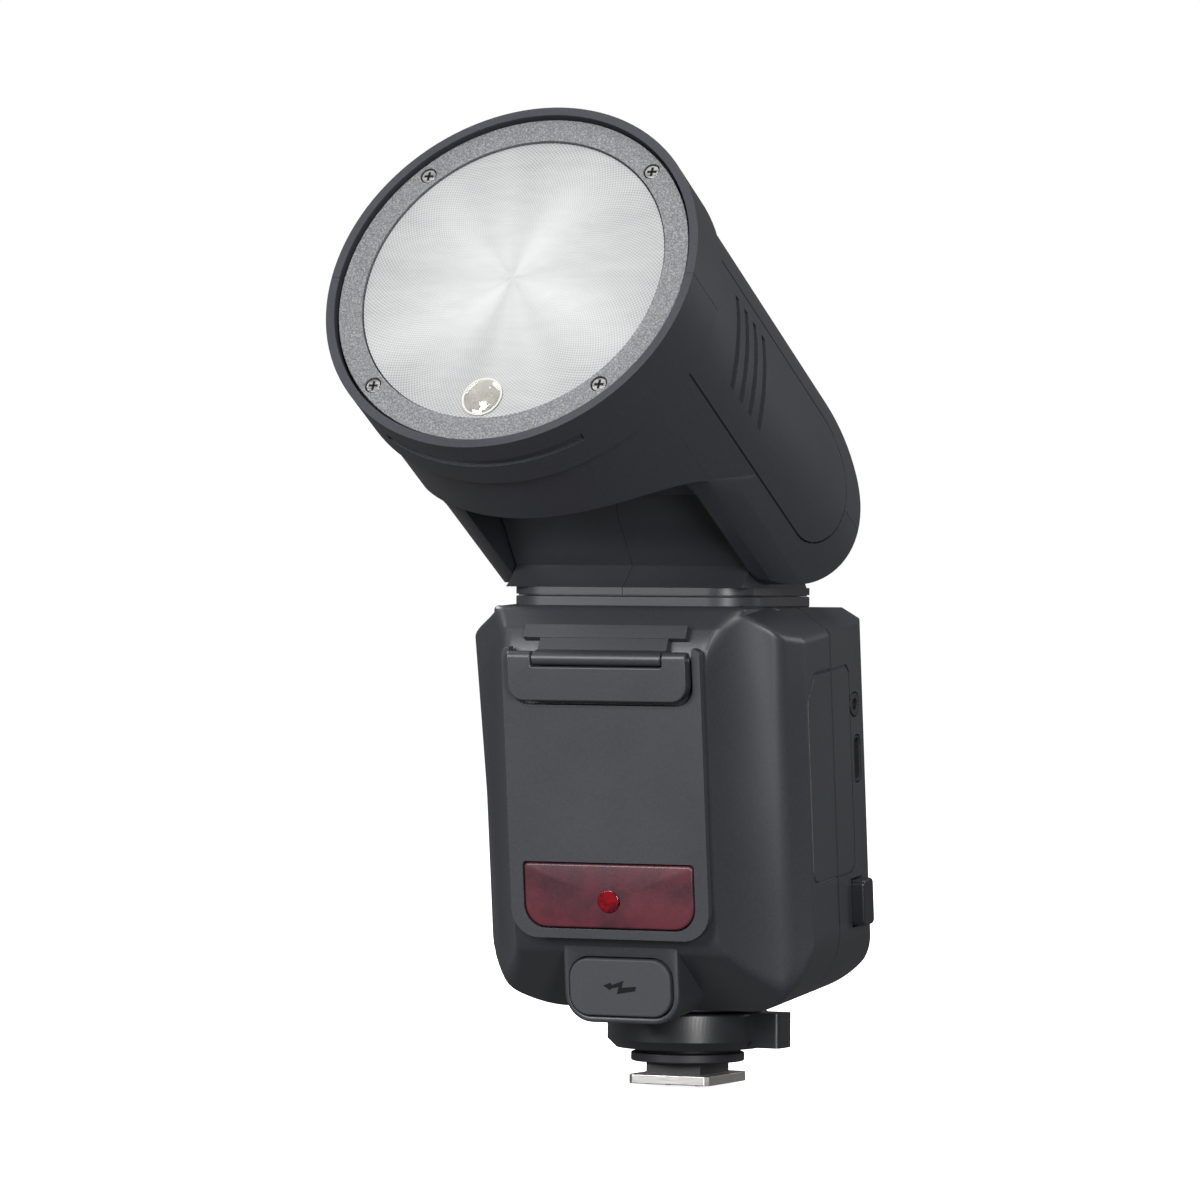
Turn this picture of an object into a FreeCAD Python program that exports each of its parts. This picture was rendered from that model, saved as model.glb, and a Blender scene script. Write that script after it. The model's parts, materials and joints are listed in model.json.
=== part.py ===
import FreeCAD, Part
import math
import os

V = FreeCAD.Vector

# ---------------------------------------------------------------- driving dimensions, millimetres
# Frame: origin at the centre of the foot plate's underside, +Z up, the lens side faces -Y.
HEAD_OD = 80.0          # outside of the front rim
HEAD_REACH = 78.65      # tilt pivot to the rim's front face
HEAD_TILT = 29.8        # head axis above level in the rest pose, degrees
PIVOT_Y = -21.1         # tilt pivot
PIVOT_Z = 127.9
PAN_Y = -14.0           # pan axis is vertical through x = 0
FORK_HALF = 27.3        # inner face of each head arm
ARM_DROP = 22.5         # underside of the arms below the head axis
VENT_W = 2.1             # width of each side vent
SHAFT_R = 6.0           # tilt shaft
BODY_W = 74.0           # body width
BODY_FRONT = -35.6      # front plane of the leaning body
BODY_REAR = 17.5        # rear plane of the leaning body
BODY_LOW = 18.0         # bottom of the leaning body
BODY_TOP = 100.6        # level top of the body shells
BODY_LEAN = 6.0         # the body leans forward by this many degrees
WALL = 2.2              # body shell wall
SEAM_Y = -3.5           # joint between the front and rear shells
FOOT_W = 18.6           # standard shoe foot width
FOOT_L = 20.8
FOOT_T = 2.0
RING_R = 17.0           # lock ring
RING_LOW = 7.5
RING_TOP = 15.3
BATTERY_T = 22.3        # battery thickness, front to back
BATTERY_H = 43.5
BATTERY_L = 59.0
GAP = 0.3               # clearance between pieces that move or drop in
RUN = 0.05              # radial running clearance on shafts

# ---------------------------------------------------------------- sizes that follow from them
HALF = BODY_W / 2.0
PANEL_HALF = HALF - 14.6
RIM_R = HEAD_OD / 2.0
BARREL_R = RIM_R - 1.0
CAVITY_R = BARREL_R - 3.5
LENS_R = BARREL_R - 6.6
BEZEL_R = RIM_R - 2.4
SCREW_R = (LENS_R + 0.2 + BEZEL_R) / 2.0
LEDGE = HEAD_REACH - 4.0
PANEL_IN = BARREL_R - 1.8
TURRET_HALF = FORK_HALF - 0.6
TONGUE_R = 18.0
SLOT_R = TONGUE_R + 3.0
SPIGOT_R = 15.0
NECK_DEPTH = 20.6         # half the depth of the plates under the turret
TURRET_LOW = BODY_TOP + 2.2 + GAP
BAT_FRONT = -16.5
BAT_REAR = BAT_FRONT + BATTERY_T
BAT_LOW = 45.0
BAT_TOP = BAT_LOW + BATTERY_H
BACK_IN = BODY_REAR - WALL
FACE_Y = BODY_FRONT - 2.2
CHIN = HEAD_REACH - 29.15  # where the underside steps in behind the rim
COVER_PIN = (BODY_FRONT - 3.1, 94.4)
DIAL_Z = 38.5


# ---------------------------------------------------------------- small helpers
def box(x0, x1, y0, y1, z0, z1):
    return Part.makeBox(x1 - x0, y1 - y0, z1 - z0, V(x0, y0, z0))


def rod(start, along, radius, length):
    return Part.makeCylinder(radius, length, V(*start), V(*along))


def tube(start, along, outer, inner, length):
    return rod(start, along, outer, length).cut(rod(start, along, inner, length))


def flat_face(points, plane):
    """Closed face from corner pairs; a triple ("a", middle, end) is an arc."""
    place = {"xy": lambda p: V(p[0], p[1], 0), "xz": lambda p: V(p[0], 0, p[1]), "yz": lambda p: V(0, p[0], p[1])}
    put = place[plane]
    last = put(points[0])
    edges = []
    for item in list(points[1:]) + [points[0]]:
        if item[0] == "a":
            end = put(item[2])
            edges.append(Part.Arc(last, put(item[1]), end).toShape())
        else:
            end = put(item)
            if end.distanceToPoint(last) > 1e-6:
                edges.append(Part.makeLine(last, end))
        last = end
    return Part.Face(Part.Wire(edges))


def prism(points, plane, low, high, inset=0.0):
    """Extrudes an outline square to its plane between two levels, drawn in by inset."""
    way = {"xy": V(0, 0, 1), "xz": V(0, 1, 0), "yz": V(1, 0, 0)}[plane]
    face = flat_face(points, plane)
    if inset > 0:
        face = face.makeOffset2D(-inset)
    face.translate(way * low)
    return face.extrude(way * (high - low))


def soften(shape, radius, wanted):
    """Rounds the edges that the test picks out."""
    edges = [edge for edge in shape.Edges if wanted(edge)]
    return shape.makeFillet(radius, edges)


def along(edge, axis):
    """True for a straight edge that runs along one of the axes."""
    ends = [v.Point for v in edge.Vertexes]
    if len(ends) != 2:
        return False
    step = ends[1] - ends[0]
    return abs(abs(step[axis]) - step.Length) < 1e-6


def plate(x0, x1, y0, y1, z0, z1, r_low, r_high):
    """A plate facing -Y with its lower and upper corners rounded."""
    shape = box(x0, x1, y0, y1, z0, z1)
    middle = (z0 + z1) / 2.0
    if r_low > 0:
        shape = soften(shape, r_low, lambda e: along(e, 1) and e.CenterOfMass.z < middle)
    if r_high > 0:
        shape = soften(shape, r_high, lambda e: along(e, 1) and e.CenterOfMass.z > middle)
    return shape


def joined(shapes):
    result = shapes[0]
    for other in shapes[1:]:
        result = result.fuse(other)
    return result.removeSplitter()


def lean(shape):
    """Turns a piece drawn upright into the leaning body's place."""
    result = shape.copy()
    result.rotate(V(0, 0, 17), V(1, 0, 0), BODY_LEAN)
    return result


def head_place(shape):
    """Takes a piece drawn about the pivot, lens towards -Y, to the rest pose."""
    result = shape.copy()
    result.rotate(V(0, 0, 0), V(1, 0, 0), -HEAD_TILT)
    result.translate(V(0, PIVOT_Y, PIVOT_Z))
    return result


def below(level):
    return box(-200, 200, -200, 200, -200, level)


def ahead(radius, s_back, s_front, x=0.0, n=0.0):
    """Cylinder parallel to the head axis between two distances ahead of the pivot."""
    return rod((x, -s_back, n), (0, -1, 0), radius, s_front - s_back)


def save(name, shape):
    """Writes one piece; loose faces and edges are dropped."""
    solids = shape.Solids
    result = solids[0] if len(solids) == 1 else Part.makeCompound(solids)
    result.exportStep("parts/" + name + ".step")


# ---------------------------------------------------------------- body shells
def body_plan(height):
    """Outline of the body at one height: flat front, coved corners, side creases and round rear corners."""
    crease_x = HALF - 4.66 + 0.0256 * height
    crease_y = BODY_FRONT + 15.2 - 0.0442 * height
    flat = PANEL_HALF + 0.6
    cove_x = flat + 4.4
    cove_y = BODY_FRONT + 0.6 * (crease_y - BODY_FRONT)
    side_y = BAT_FRONT - 0.5
    r = 6.0
    k = r * 0.2929
    return [
        (-flat, BODY_FRONT), (flat, BODY_FRONT),
        ("a", (cove_x, cove_y), (crease_x, crease_y)),
        (HALF, side_y), (HALF, BODY_REAR - r),
        ("a", (HALF - k, BODY_REAR - k), (HALF - r, BODY_REAR)),
        (-HALF + r, BODY_REAR),
        ("a", (-HALF + k, BODY_REAR - k), (-HALF, BODY_REAR - r)),
        (-HALF, side_y), (-crease_x, crease_y),
        ("a", (-cove_x, cove_y), (-flat, BODY_FRONT)),
    ]


def body_block(inset):
    """The leaning body as one block, drawn in by inset on every side."""
    big = 16.5
    bk = big * 0.2929
    low = BODY_LOW
    front = [
        (-HALF + big, low), (HALF - big, low),
        ("a", (HALF - bk, low + bk), (HALF, low + big)),
        (HALF, 96.5), (HALF - 8.5, 102.6), (HALF - 8.5, 125), (-HALF + 8.5, 125), (-HALF + 8.5, 102.6), (-HALF, 96.5),
        (-HALF, low + big),
        ("a", (-HALF + bk, low + bk), (-HALF + big, low)),
    ]
    heel = 10.0
    hk = heel * 0.2929
    side = [
        (BODY_FRONT + 20.0, low), (BODY_REAR - heel, low),
        ("a", (BODY_REAR - hk, low + hk), (BODY_REAR, low + heel)),
        (BODY_REAR, 91.6), (BODY_REAR - 3.8, 99.6), (BODY_REAR - 3.8, 125), (BODY_FRONT + 7.1, 125),
        (BODY_FRONT + 7.1, 104), (BODY_FRONT + 3, 100), (BODY_FRONT, 95), (BODY_FRONT, 37),
        (BODY_FRONT + 3.0, 32.5),
    ]
    rims = []
    for height in (0.0, 130.0):
        face = flat_face(body_plan(height), "xy")
        if inset > 0:
            face = face.makeOffset2D(-inset)
        face.translate(V(0, 0, height))
        rims.append(face.OuterWire if hasattr(face, "OuterWire") else face.Faces[0].OuterWire)
    block = Part.makeLoft(rims, True, True)
    block = block.common(prism(front, "xz", -80, 80, inset))
    block = block.common(prism(side, "yz", -80, 80, inset))
    return lean(block).common(below(BODY_TOP - inset))


def battery_way(grow):
    """The room the battery takes, open towards -X."""
    return box(-HALF - 20, BATTERY_L - HALF + grow, BAT_FRONT - grow, BAT_REAR + grow, BAT_LOW - grow, BAT_TOP + grow)


def shell_half(front):
    """One half of the hollow body, with the openings both halves share."""
    shell = body_block(0).cut(body_block(WALL))
    if front:
        shell = shell.common(lean(box(-90, 90, -90, SEAM_Y - 0.1, -50, 150)))
    else:
        shell = shell.common(lean(box(-90, 90, SEAM_Y + 0.1, 90, -50, 150)))
    mouth = battery_way(GAP).common(box(-HALF - 20, -HALF + WALL + 1, -90, 90, 0, 150))
    shell = shell.cut(lean(mouth)).cut(side_line())
    shell = shell.cut(rod((0, PAN_Y, BODY_TOP - 5), (0, 0, 1), 19.5, 10))
    return shell.cut(rod((0, 0, 0), (0, 0, 1), 15.8, 30))


def front_cover():
    shell = shell_half(True)
    y0 = BODY_FRONT + 2.2
    block = plate(-13, 13, y0, y0 + 9.4, BODY_LOW - 0.3, 35.5, 6.0, 0)
    sole = box(-13, 13, y0 + 9.0, y0 + 20.0, BODY_LOW - 0.3, BODY_LOW + 3.5)
    sole = sole.cut(rod((0, 0, 0), (0, 0, 1), 17.0, 60))
    shell = shell.fuse(lean(block)).fuse(lean(sole)).cut(rod((0, 0, 0), (0, 0, 1), 15.8, 30)).removeSplitter()
    cuts = [
        plate(-11.8, 11.8, y0 - 1, y0 + 2.3, 19.0, 31.6, 4.6, 4.6),
        plate(-7.3, 7.3, y0 + 2.2, y0 + 8.9, 21.2, 29.3, 1.0, 1.0),
        box(-17, 17, BODY_FRONT - 1, BODY_FRONT + WALL + 1, 40, 50),
        box(-HALF - 2, -HALF + WALL + 1, -13.8, -6.2, 36.2, 43.3),
    ]
    for cut in cuts:
        shell = shell.cut(lean(cut))
    return shell


def rear_cover():
    shell = shell_half(False)
    y0 = BACK_IN - 1
    y1 = BODY_REAR + 1
    bosses = []
    for x, z, r in ((-16, 29.5, 1.6), (16, 29.5, 1.6), (-26.2, 55.5, 1.4), (26.2, 55.5, 1.4)):
        bosses.append(rod((x, BACK_IN - 2.2, z), (0, 1, 0), r, 3.0))
    shell = joined([shell] + [lean(b) for b in bosses])
    cuts = [
        box(-24.3, 24.3, y0, y1, 59.7, 87.8),
        rod((0, BODY_REAR - 1.5, DIAL_Z), (0, 1, 0), 12.8, 4),
        rod((0, y0, DIAL_Z), (0, 1, 0), 8.0 + GAP, 8),
        box(19.7, 29.3, y0, y1, 31.2, 34.8),
        rod((HALF - 6, 8.3, 79.8), (1, 0, 0), 2.4 + GAP, 10),
        soften(box(HALF - 6, HALF + 4, 6.92, 11.02, 63.15, 73.45), 1.9, lambda e: along(e, 0)),
        box(HALF - 6, HALF + 4, 3.2, 9.3, 33.2, 43.6),
    ]
    for x in FUNCTION_X:
        cuts.append(box(x - 4.8, x + 4.8, y0, y1, 52.5, 57.5))
    for x, z in ROUND_KEYS.values():
        cuts.append(rod((x, y0, z), (0, 1, 0), 3.6 + GAP, 8))
    for cut in cuts:
        shell = shell.cut(lean(cut))
    return shell


def side_line():
    """Shallow line round the blank panel on the right-hand side."""
    def slab(grow):
        front, rear, low, high = BAT_FRONT - grow, BAT_FRONT + BATTERY_T + grow, BAT_LOW - grow, BAT_LOW + BATTERY_H + grow
        k = 3.0 * (1 - math.cos(math.pi / 4))
        points = [
            (front, low + 3), ("a", (front + k, low + k), (front + 3, low)), (rear - 3, low),
            ("a", (rear - k, low + k), (rear, low + 3)), (rear, high - 1.5), (rear - 1.5, high),
            (front + 4, high), (front, high - 4.5),
        ]
        return prism(points, "yz", HALF - 0.35, HALF + 1)
    return lean(slab(0.22).cut(slab(-0.22)))


# ---------------------------------------------------------------- front of the body
def front_panel():
    panel = plate(-PANEL_HALF, PANEL_HALF, FACE_Y, BODY_FRONT, 36.0, 96.5, 6.0, 1.5)
    panel = panel.cut(plate(-PANEL_HALF + 3.0, PANEL_HALF - 3.0, FACE_Y - 1, BODY_FRONT + 1, 38.0, 51.9, 4.8, 0.8))
    panel = panel.cut(plate(-PANEL_HALF + 1.8, PANEL_HALF - 1.8, FACE_Y - 1, BODY_FRONT + 1, 84.6, 99, 4.0, 0))
    return lean(panel)


def af_window():
    half = PANEL_HALF - 3.0 - GAP
    window = plate(-half, half, FACE_Y - 0.1, BODY_FRONT, 38.3, 51.6, 4.5, 0.6)
    window = window.cut(rod((0, FACE_Y - 2, 43.9), (0, 1, 0), 2.5, 9))
    return lean(window)


def af_lens():
    return lean(rod((0, FACE_Y - 0.4, 43.9), (0, 1, 0), 2.4, 2.6))


def hinge_bracket():
    y0 = BODY_FRONT
    pin_y, pin_z = COVER_PIN
    arm = [(y0, 95), (y0 + 3, 100), (y0 + 1.9, 100.7), (y0 - 1.1, 96.0), (pin_y, pin_z + 1.4), (pin_y, pin_z),
           (y0 - 2.0, 93.5), (y0, 93.5)]
    strip = [(y0 + 1.5, 97.5), (y0 + 3, 100), (y0 + 1.7, 100.9), (y0 + 0.2, 98.4)]
    half = PANEL_HALF - 7.9
    knuckle = rod((-half, pin_y, pin_z), (1, 0, 0), 1.4, 2 * half)
    shape = joined([prism(arm, "yz", -half, half), prism(strip, "yz", -PANEL_HALF + 4, PANEL_HALF - 4), knuckle])
    return lean(shape.cut(rod((-half - 1, pin_y, pin_z), (1, 0, 0), 0.72, 2 * half + 2)))


def cover_pin():
    pin_y, pin_z = COVER_PIN
    half = PANEL_HALF - 2.8
    return lean(rod((-half, pin_y, pin_z), (1, 0, 0), 0.7, 2 * half))


def accessory_cover():
    pin_y, pin_z = COVER_PIN
    half = PANEL_HALF - 2.2
    shape = plate(-half, half, pin_y - 1.5, pin_y + 1.5, 85.7, pin_z + 1.5, 3.5, 0)
    shape = soften(shape, 1.3, lambda e: along(e, 0) and e.CenterOfMass.z > pin_z)
    notch = PANEL_HALF - 7.6
    shape = shape.cut(box(-notch, notch, pin_y - 5, pin_y + 5, pin_z - 1.6, pin_z + 9))
    return lean(shape.cut(rod((-half - 1, pin_y, pin_z), (1, 0, 0), 0.7 + RUN, 2 * half + 2)))


def accessory_port():
    port = plate(-12, 12, BODY_FRONT - 1.2, BODY_FRONT, 86.5, 92.0, 1.0, 1.0)
    for i in range(6):
        port = port.cut(box(-9.2 + 3.3 * i, -7.4 + 3.3 * i, BODY_FRONT - 2, BODY_FRONT - 0.8, 87.7, 90.8))
    return lean(port)


def power_port():
    y0 = BODY_FRONT + 4.5
    port = plate(-7, 7, y0, y0 + 6.4, 21.5, 29.0, 0.8, 0.8)
    for x in (-4.2, 0, 4.2):
        port = port.cut(rod((x, y0 - 1, 25.2), (0, 1, 0), 1.1, 5))
    return lean(port)


def port_cover():
    y0 = BODY_FRONT + 1.4
    return lean(plate(-11.5, 11.5, y0, y0 + 2.8, 19.3, 31.3, 4.3, 4.3))


# ---------------------------------------------------------------- inside the body
def battery():
    shape = box(-HALF, BATTERY_L - HALF, BAT_FRONT, BAT_REAR, BAT_LOW, BAT_TOP)
    return lean(soften(shape, 1.5, lambda e: along(e, 0)))


def battery_bay():
    outer = box(-HALF + WALL + 0.9, BATTERY_L - HALF + 2.5, BAT_FRONT - 1.6, BAT_REAR + 2, BAT_LOW - 2, BAT_TOP + 2)
    corner = [e for e in outer.Edges if along(e, 2) and e.CenterOfMass.x < 0 and e.CenterOfMass.y < BAT_FRONT]
    outer = outer.makeChamfer(1.2, corner)
    return lean(outer.cut(battery_way(GAP)))


def battery_latch():
    x0 = -HALF
    knob = box(x0 - 0.8, x0 + WALL + 1.4, -13.5, -6.5, 38.5, 43.0)
    knob = soften(knob, 0.6, lambda e: along(e, 0) and e.CenterOfMass.x < 0)
    ribs = [box(x0 - 1.1, x0 - 0.7, -12.8, -7.2, z, z + 0.6) for z in (39.3, 40.5, 41.7)]
    slide = box(x0 + WALL + 1.4, x0 + WALL + 2.3, -14.8, -5.2, 36.4, 42.7)
    return lean(joined([knob, slide] + ribs))


def main_board():
    return lean(box(-27, 27, BAT_REAR + 2, BAT_REAR + 3.6, 44.5, 89.5))


def capacitor():
    radius = 8.2
    z = BAT_LOW - 2 - GAP - radius
    can = rod((-26, -12, z), (1, 0, 0), radius, 42)
    return lean(soften(can, 1.0, lambda e: abs(e.Length - 2 * math.pi * radius) < 0.1))


def key_board():
    return lean(box(-28, 28, BACK_IN - 3.4, BACK_IN - 2.2, 27.5, 57.5))


def lcd_module():
    return lean(box(-26, 26, BACK_IN - 3.0, BACK_IN, 59.0, 88.5))


def lcd_window():
    return lean(box(-24.0, 24.0, BACK_IN, BODY_REAR - 0.2, 60.0, 87.5))


def sync_jack():
    jack = rod((27.3, 8.3, 79.8), (1, 0, 0), 2.4, HALF + 0.1 - 27.3)
    return lean(jack.cut(rod((HALF - 9, 8.3, 79.8), (1, 0, 0), 1.25, 12)))


def usb_port():
    port = soften(box(HALF - 8, HALF - 0.1, 7.22, 10.72, 63.45, 73.15), 1.7, lambda e: along(e, 0))
    hole = soften(box(HALF - 6.5, HALF + 1, 7.67, 10.27, 63.9, 72.7), 1.25, lambda e: along(e, 0))
    tongue = box(HALF - 6.6, HALF - 1.2, 8.67, 9.27, 65.0, 71.6)
    return lean(port.cut(hole).fuse(tongue).removeSplitter())


def side_button():
    shape = box(HALF - 3.5, HALF + 2.7, 3.5, 9.0, 33.5, 43.3)
    return lean(soften(shape, 1.2, lambda e: along(e, 0)))


# ---------------------------------------------------------------- controls on the back
FUNCTION_X = (-18.9, -6.3, 6.3, 18.9)
ROUND_KEYS = {"mode_button": (-24.0, 46.0), "test_button": (24.0, 46.0)}


def select_dial():
    dial = tube((0, BODY_REAR - 1.2, DIAL_Z), (0, 1, 0), 12.5, 6.6, 3.3)
    dial = dial.fuse(tube((0, BACK_IN - 1.1, DIAL_Z), (0, 1, 0), 8.0, 6.6, 2.3))
    count = 36
    for i in range(count):
        turn = 2 * math.pi * i / count
        x = 12.75 * math.cos(turn)
        z = DIAL_Z + 12.75 * math.sin(turn)
        dial = dial.cut(rod((x, BODY_REAR - 0.2, z), (0, 1, 0), 0.5, 5))
    return lean(dial.removeSplitter())


def set_button():
    return lean(rod((0, BACK_IN - 1.1, DIAL_Z), (0, 1, 0), 6.3, 4.6))


def function_button(x):
    head = box(x - 4.5, x + 4.5, BACK_IN - 0.3, BODY_REAR + 0.8, 52.8, 57.2)
    head = soften(head, 0.7, lambda e: along(e, 1))
    foot = box(x - 5.2, x + 5.2, BACK_IN - 1.2, BACK_IN - 0.3, 52.2, 57.8)
    return lean(head.fuse(foot).removeSplitter())


def round_button(x, z):
    head = rod((x, BACK_IN - 0.3, z), (0, 1, 0), 3.6, WALL + 1.1)
    foot = rod((x, BACK_IN - 1.2, z), (0, 1, 0), 4.3, 0.9)
    return lean(head.fuse(foot).removeSplitter())


def power_switch():
    knob = box(20.0, 24.8, BACK_IN - 0.3, BODY_REAR + 0.9, 31.5, 34.5)
    foot = box(19.2, 26.8, BACK_IN - 1.2, BACK_IN - 0.3, 30.2, 35.8)
    return lean(knob.fuse(foot).removeSplitter())


# ---------------------------------------------------------------- foot and lock
def foot_plate():
    shape = box(-FOOT_W / 2, FOOT_W / 2, -FOOT_L / 2, FOOT_L / 2, 0, FOOT_T)
    edges = [e for e in shape.Edges if along(e, 2)]
    shape = shape.makeChamfer(1.0, edges)
    shape = shape.cut(box(-5.9, 5.9, -7.2, 7.2, -1, FOOT_T + 1))
    return shape


def contact_block():
    shape = box(-5.8, 5.8, -7.1, 7.1, 0.15, FOOT_T).fuse(box(-6.2, 6.2, -7.5, 7.5, FOOT_T, 4.6)).removeSplitter()
    for x, y, r in CONTACTS:
        shape = shape.cut(rod((x, y, -1), (0, 0, 1), r + 0.1, 10))
    return shape.cut(rod((0, -6.0, -1), (0, 0, 1), 0.9 + RUN, 10))


CONTACTS = ((0, 0, 1.3), (-3.4, 3.6, 0.8), (3.4, 3.6, 0.8), (-3.4, -2.4, 0.8), (3.4, -2.4, 0.8))


def contact_pins():
    pins = []
    for x, y, r in CONTACTS:
        pin = rod((x, y, -0.7), (0, 0, 1), r, 5.3)
        pins.append(soften(pin, 0.4, lambda e: e.CenterOfMass.z < 0 and e.Length > r * 6))
    return Part.makeCompound(pins)


def foot_hub():
    hub = rod((0, 0, 4.6), (0, 0, 1), 12.0, 1.9).fuse(rod((0, 0, 4.6), (0, 0, 1), 10.5, RING_TOP + GAP - 4.6))
    hub = hub.removeSplitter()
    return hub.cut(rod((0, -6.0, 0), (0, 0, 1), 0.9 + RUN, RING_TOP - 1.0))


def foot_boss():
    low = RING_TOP + GAP
    boss = rod((0, 0, low), (0, 0, 1), 15.5, 22.4 - low)
    flange = rod((0, 0, 22.4), (0, 0, 1), 18.0, 2.0).common(box(-30, 30, -30, 10, 0, 50))
    return boss.fuse(flange).removeSplitter()


def lock_ring():
    ring = tube((0, 0, RING_LOW), (0, 0, 1), RING_R, 10.5 + GAP, RING_TOP - RING_LOW)
    low = [e for e in ring.Edges if abs(e.CenterOfMass.z - RING_LOW) < 0.01 and e.Length > 6 * RING_R]
    ring = ring.makeChamfer(1.8, low)
    high = [e for e in ring.Edges if abs(e.CenterOfMass.z - RING_TOP) < 0.01 and e.Length > 6 * RING_R]
    ring = ring.makeFillet(0.6, high)
    lever = box(RING_R - 3, RING_R + 5.5, -3.6, 3.6, RING_LOW + 0.4, RING_TOP)
    lever = soften(lever, 1.2, lambda e: along(e, 2))
    ring = ring.fuse(lever).removeSplitter()
    return ring


def lock_pin():
    return rod((0, -6.0, 0.4), (0, 0, 1), 0.9, RING_TOP - 4.0)


# ---------------------------------------------------------------- pan turret
def neck_plate(level, thick):
    """Flat plate about the pan axis with round corners, as wide as the top of the shells."""
    half = HALF - 9.4
    shape = box(-half, half, PAN_Y - NECK_DEPTH, PAN_Y + NECK_DEPTH, level, level + thick)
    return soften(shape, 9.0, lambda e: along(e, 2))


def collar_plate():
    shape = neck_plate(BODY_TOP, 2.2)
    return shape.cut(rod((0, PAN_Y, BODY_TOP - 1), (0, 0, 1), SPIGOT_R + RUN, 5))


def pan_retainer():
    return tube((0, PAN_Y, BODY_TOP - 2.4), (0, 0, 1), 18.8, SPIGOT_R + 0.1, 2.1)


def turret_half(right):
    py, pz, r = PIVOT_Y, PIVOT_Z, TONGUE_R
    low = TURRET_LOW
    c = math.cos(math.radians(39.0))
    s = math.sin(math.radians(39.0))
    outline = [
        (py - r * c, pz - r * s), ("a", (py, pz + r), (py + r, pz)), (py + r, low + 5), (py + r + 3.4, low + 1.2),
        (py + r + 3.4, low), (PAN_Y - NECK_DEPTH, low), (PAN_Y - NECK_DEPTH, low + 1.5), (py - 10.6, low + 3.6),
        (py - 8.5, low + 6.0),
    ]
    block = prism(outline, "yz", -TURRET_HALF, TURRET_HALF)
    disc = neck_plate(low, 1.5).common(box(-FORK_HALF + 0.15, FORK_HALF - 0.15, -100, 60, low, low + 1.5))
    inside = prism(outline, "yz", -TURRET_HALF + 3, TURRET_HALF - 3, 3.0)
    block = block.cut(inside)
    trim = neck_plate(low - 1, 4).fuse(box(-60, 60, -90, 60, low + 1.5, 200))
    block = block.common(trim)
    spigot = rod((0, PAN_Y, BODY_TOP - 3.4), (0, 0, 1), SPIGOT_R, low - BODY_TOP + 3.4 + 0.5)
    shape = joined([block, disc, spigot])
    shape = shape.cut(rod((0, PAN_Y, BODY_TOP - 6), (0, 0, 1), 11.0, 12.5))
    shape = shape.cut(rod((-60, py, pz), (1, 0, 0), SHAFT_R + 0.02, 120))
    if right:
        return shape.common(box(0.05, 100, -200, 200, 0, 300))
    return shape.common(box(-100, -0.05, -200, 200, 0, 300))


def tilt_shaft():
    length = PANEL_IN - 1.0
    return tube((-length, PIVOT_Y, PIVOT_Z), (1, 0, 0), SHAFT_R, SHAFT_R - 1.5, 2 * length)


# ---------------------------------------------------------------- head
def side_outline(half, front):
    """Stadium outline of a side panel: round behind, square in front."""
    return [(-front, -half), (0, -half), ("a", (half, 0), (0, half)), (-front, half)]


def head_form():
    """The outside of the head: barrel, rim collar, arms and chin."""
    c = math.cos(math.radians(30.0))
    s = 0.5
    d = ARM_DROP
    top = BARREL_R + 3
    climb = (top - d * s) / c
    outline = [
        (-HEAD_REACH, top), (-HEAD_REACH, -top), (-CHIN, -top), (-CHIN, -40.0),
        ("a", (6.3 - CHIN, -28.9), (13.5 - CHIN, -d)), (0, -d),
        ("a", (d * c, -d * s), (d * c, d * s)), (d * c - climb * s, top),
    ]
    barrel = ahead(BARREL_R, -40, HEAD_REACH)
    barrel = barrel.fuse(ahead(RIM_R, HEAD_REACH - 14, HEAD_REACH)).removeSplitter()
    form = barrel.common(prism(outline, "yz", -60, 60))
    r = SLOT_R
    slot = [
        (-r, -80), (-r, 0), ("a", (-r * c, r * s), (-r * s, r * c)),
        (-r * s + 70 * c, r * c + 70 * s), (90, -80),
    ]
    form = form.cut(prism(slot, "yz", -FORK_HALF, FORK_HALF))
    recess = [(-CHIN, -80), (-CHIN, -40.0), ("a", (7.0 - CHIN, -28.0), (18.5 - CHIN, -17.0)), (0, -17.0), (0, -80)]
    hollow = prism(recess, "yz", -FORK_HALF, FORK_HALF)
    corners = soften(hollow, 5.0, lambda e: abs(abs(e.CenterOfMass.x) - FORK_HALF) < 1e-6 and -45 < e.CenterOfMass.z < -16)
    form = form.cut(corners)
    for side in (-1, 1):
        form = form.cut(arm_corner(side))
    return form


def arm_corner(side):
    """What is taken off an arm's lower outer edge to round it, fading out towards the chin."""
    def section(share, s):
        n0, x1 = -ARM_DROP + 10.5 * share, math.sqrt(BARREL_R ** 2 - ARM_DROP ** 2) - 3.9 * share
        x0 = math.sqrt(BARREL_R ** 2 - n0 ** 2)
        bulge = 2.2 * share
        chord = math.hypot(x0 - x1, n0 + ARM_DROP)
        middle = ((x0 + x1) / 2 + bulge * (n0 + ARM_DROP) / chord, (n0 - ARM_DROP) / 2 - bulge * (x0 - x1) / chord)
        points = [(x0 + 0.6, n0), (x0, n0), ("a", middle, (x1, -ARM_DROP)), (x1, -ARM_DROP - 0.6), (x0 + 0.6, -ARM_DROP - 0.6)]
        flip = [("a", (side * p[1][0], p[1][1]), (side * p[2][0], p[2][1])) if p[0] == "a" else (side * p[0], p[1]) for p in points]
        face = flat_face(flip, "xz")
        face.translate(V(0, -s, 0))
        return face
    full = section(1.0, CHIN - 28.0)
    fade = Part.makeLoft([full.OuterWire, section(0.08, CHIN - 14.0).OuterWire], True, True)
    return full.extrude(V(0, 60, 0)).fuse(fade)


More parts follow.
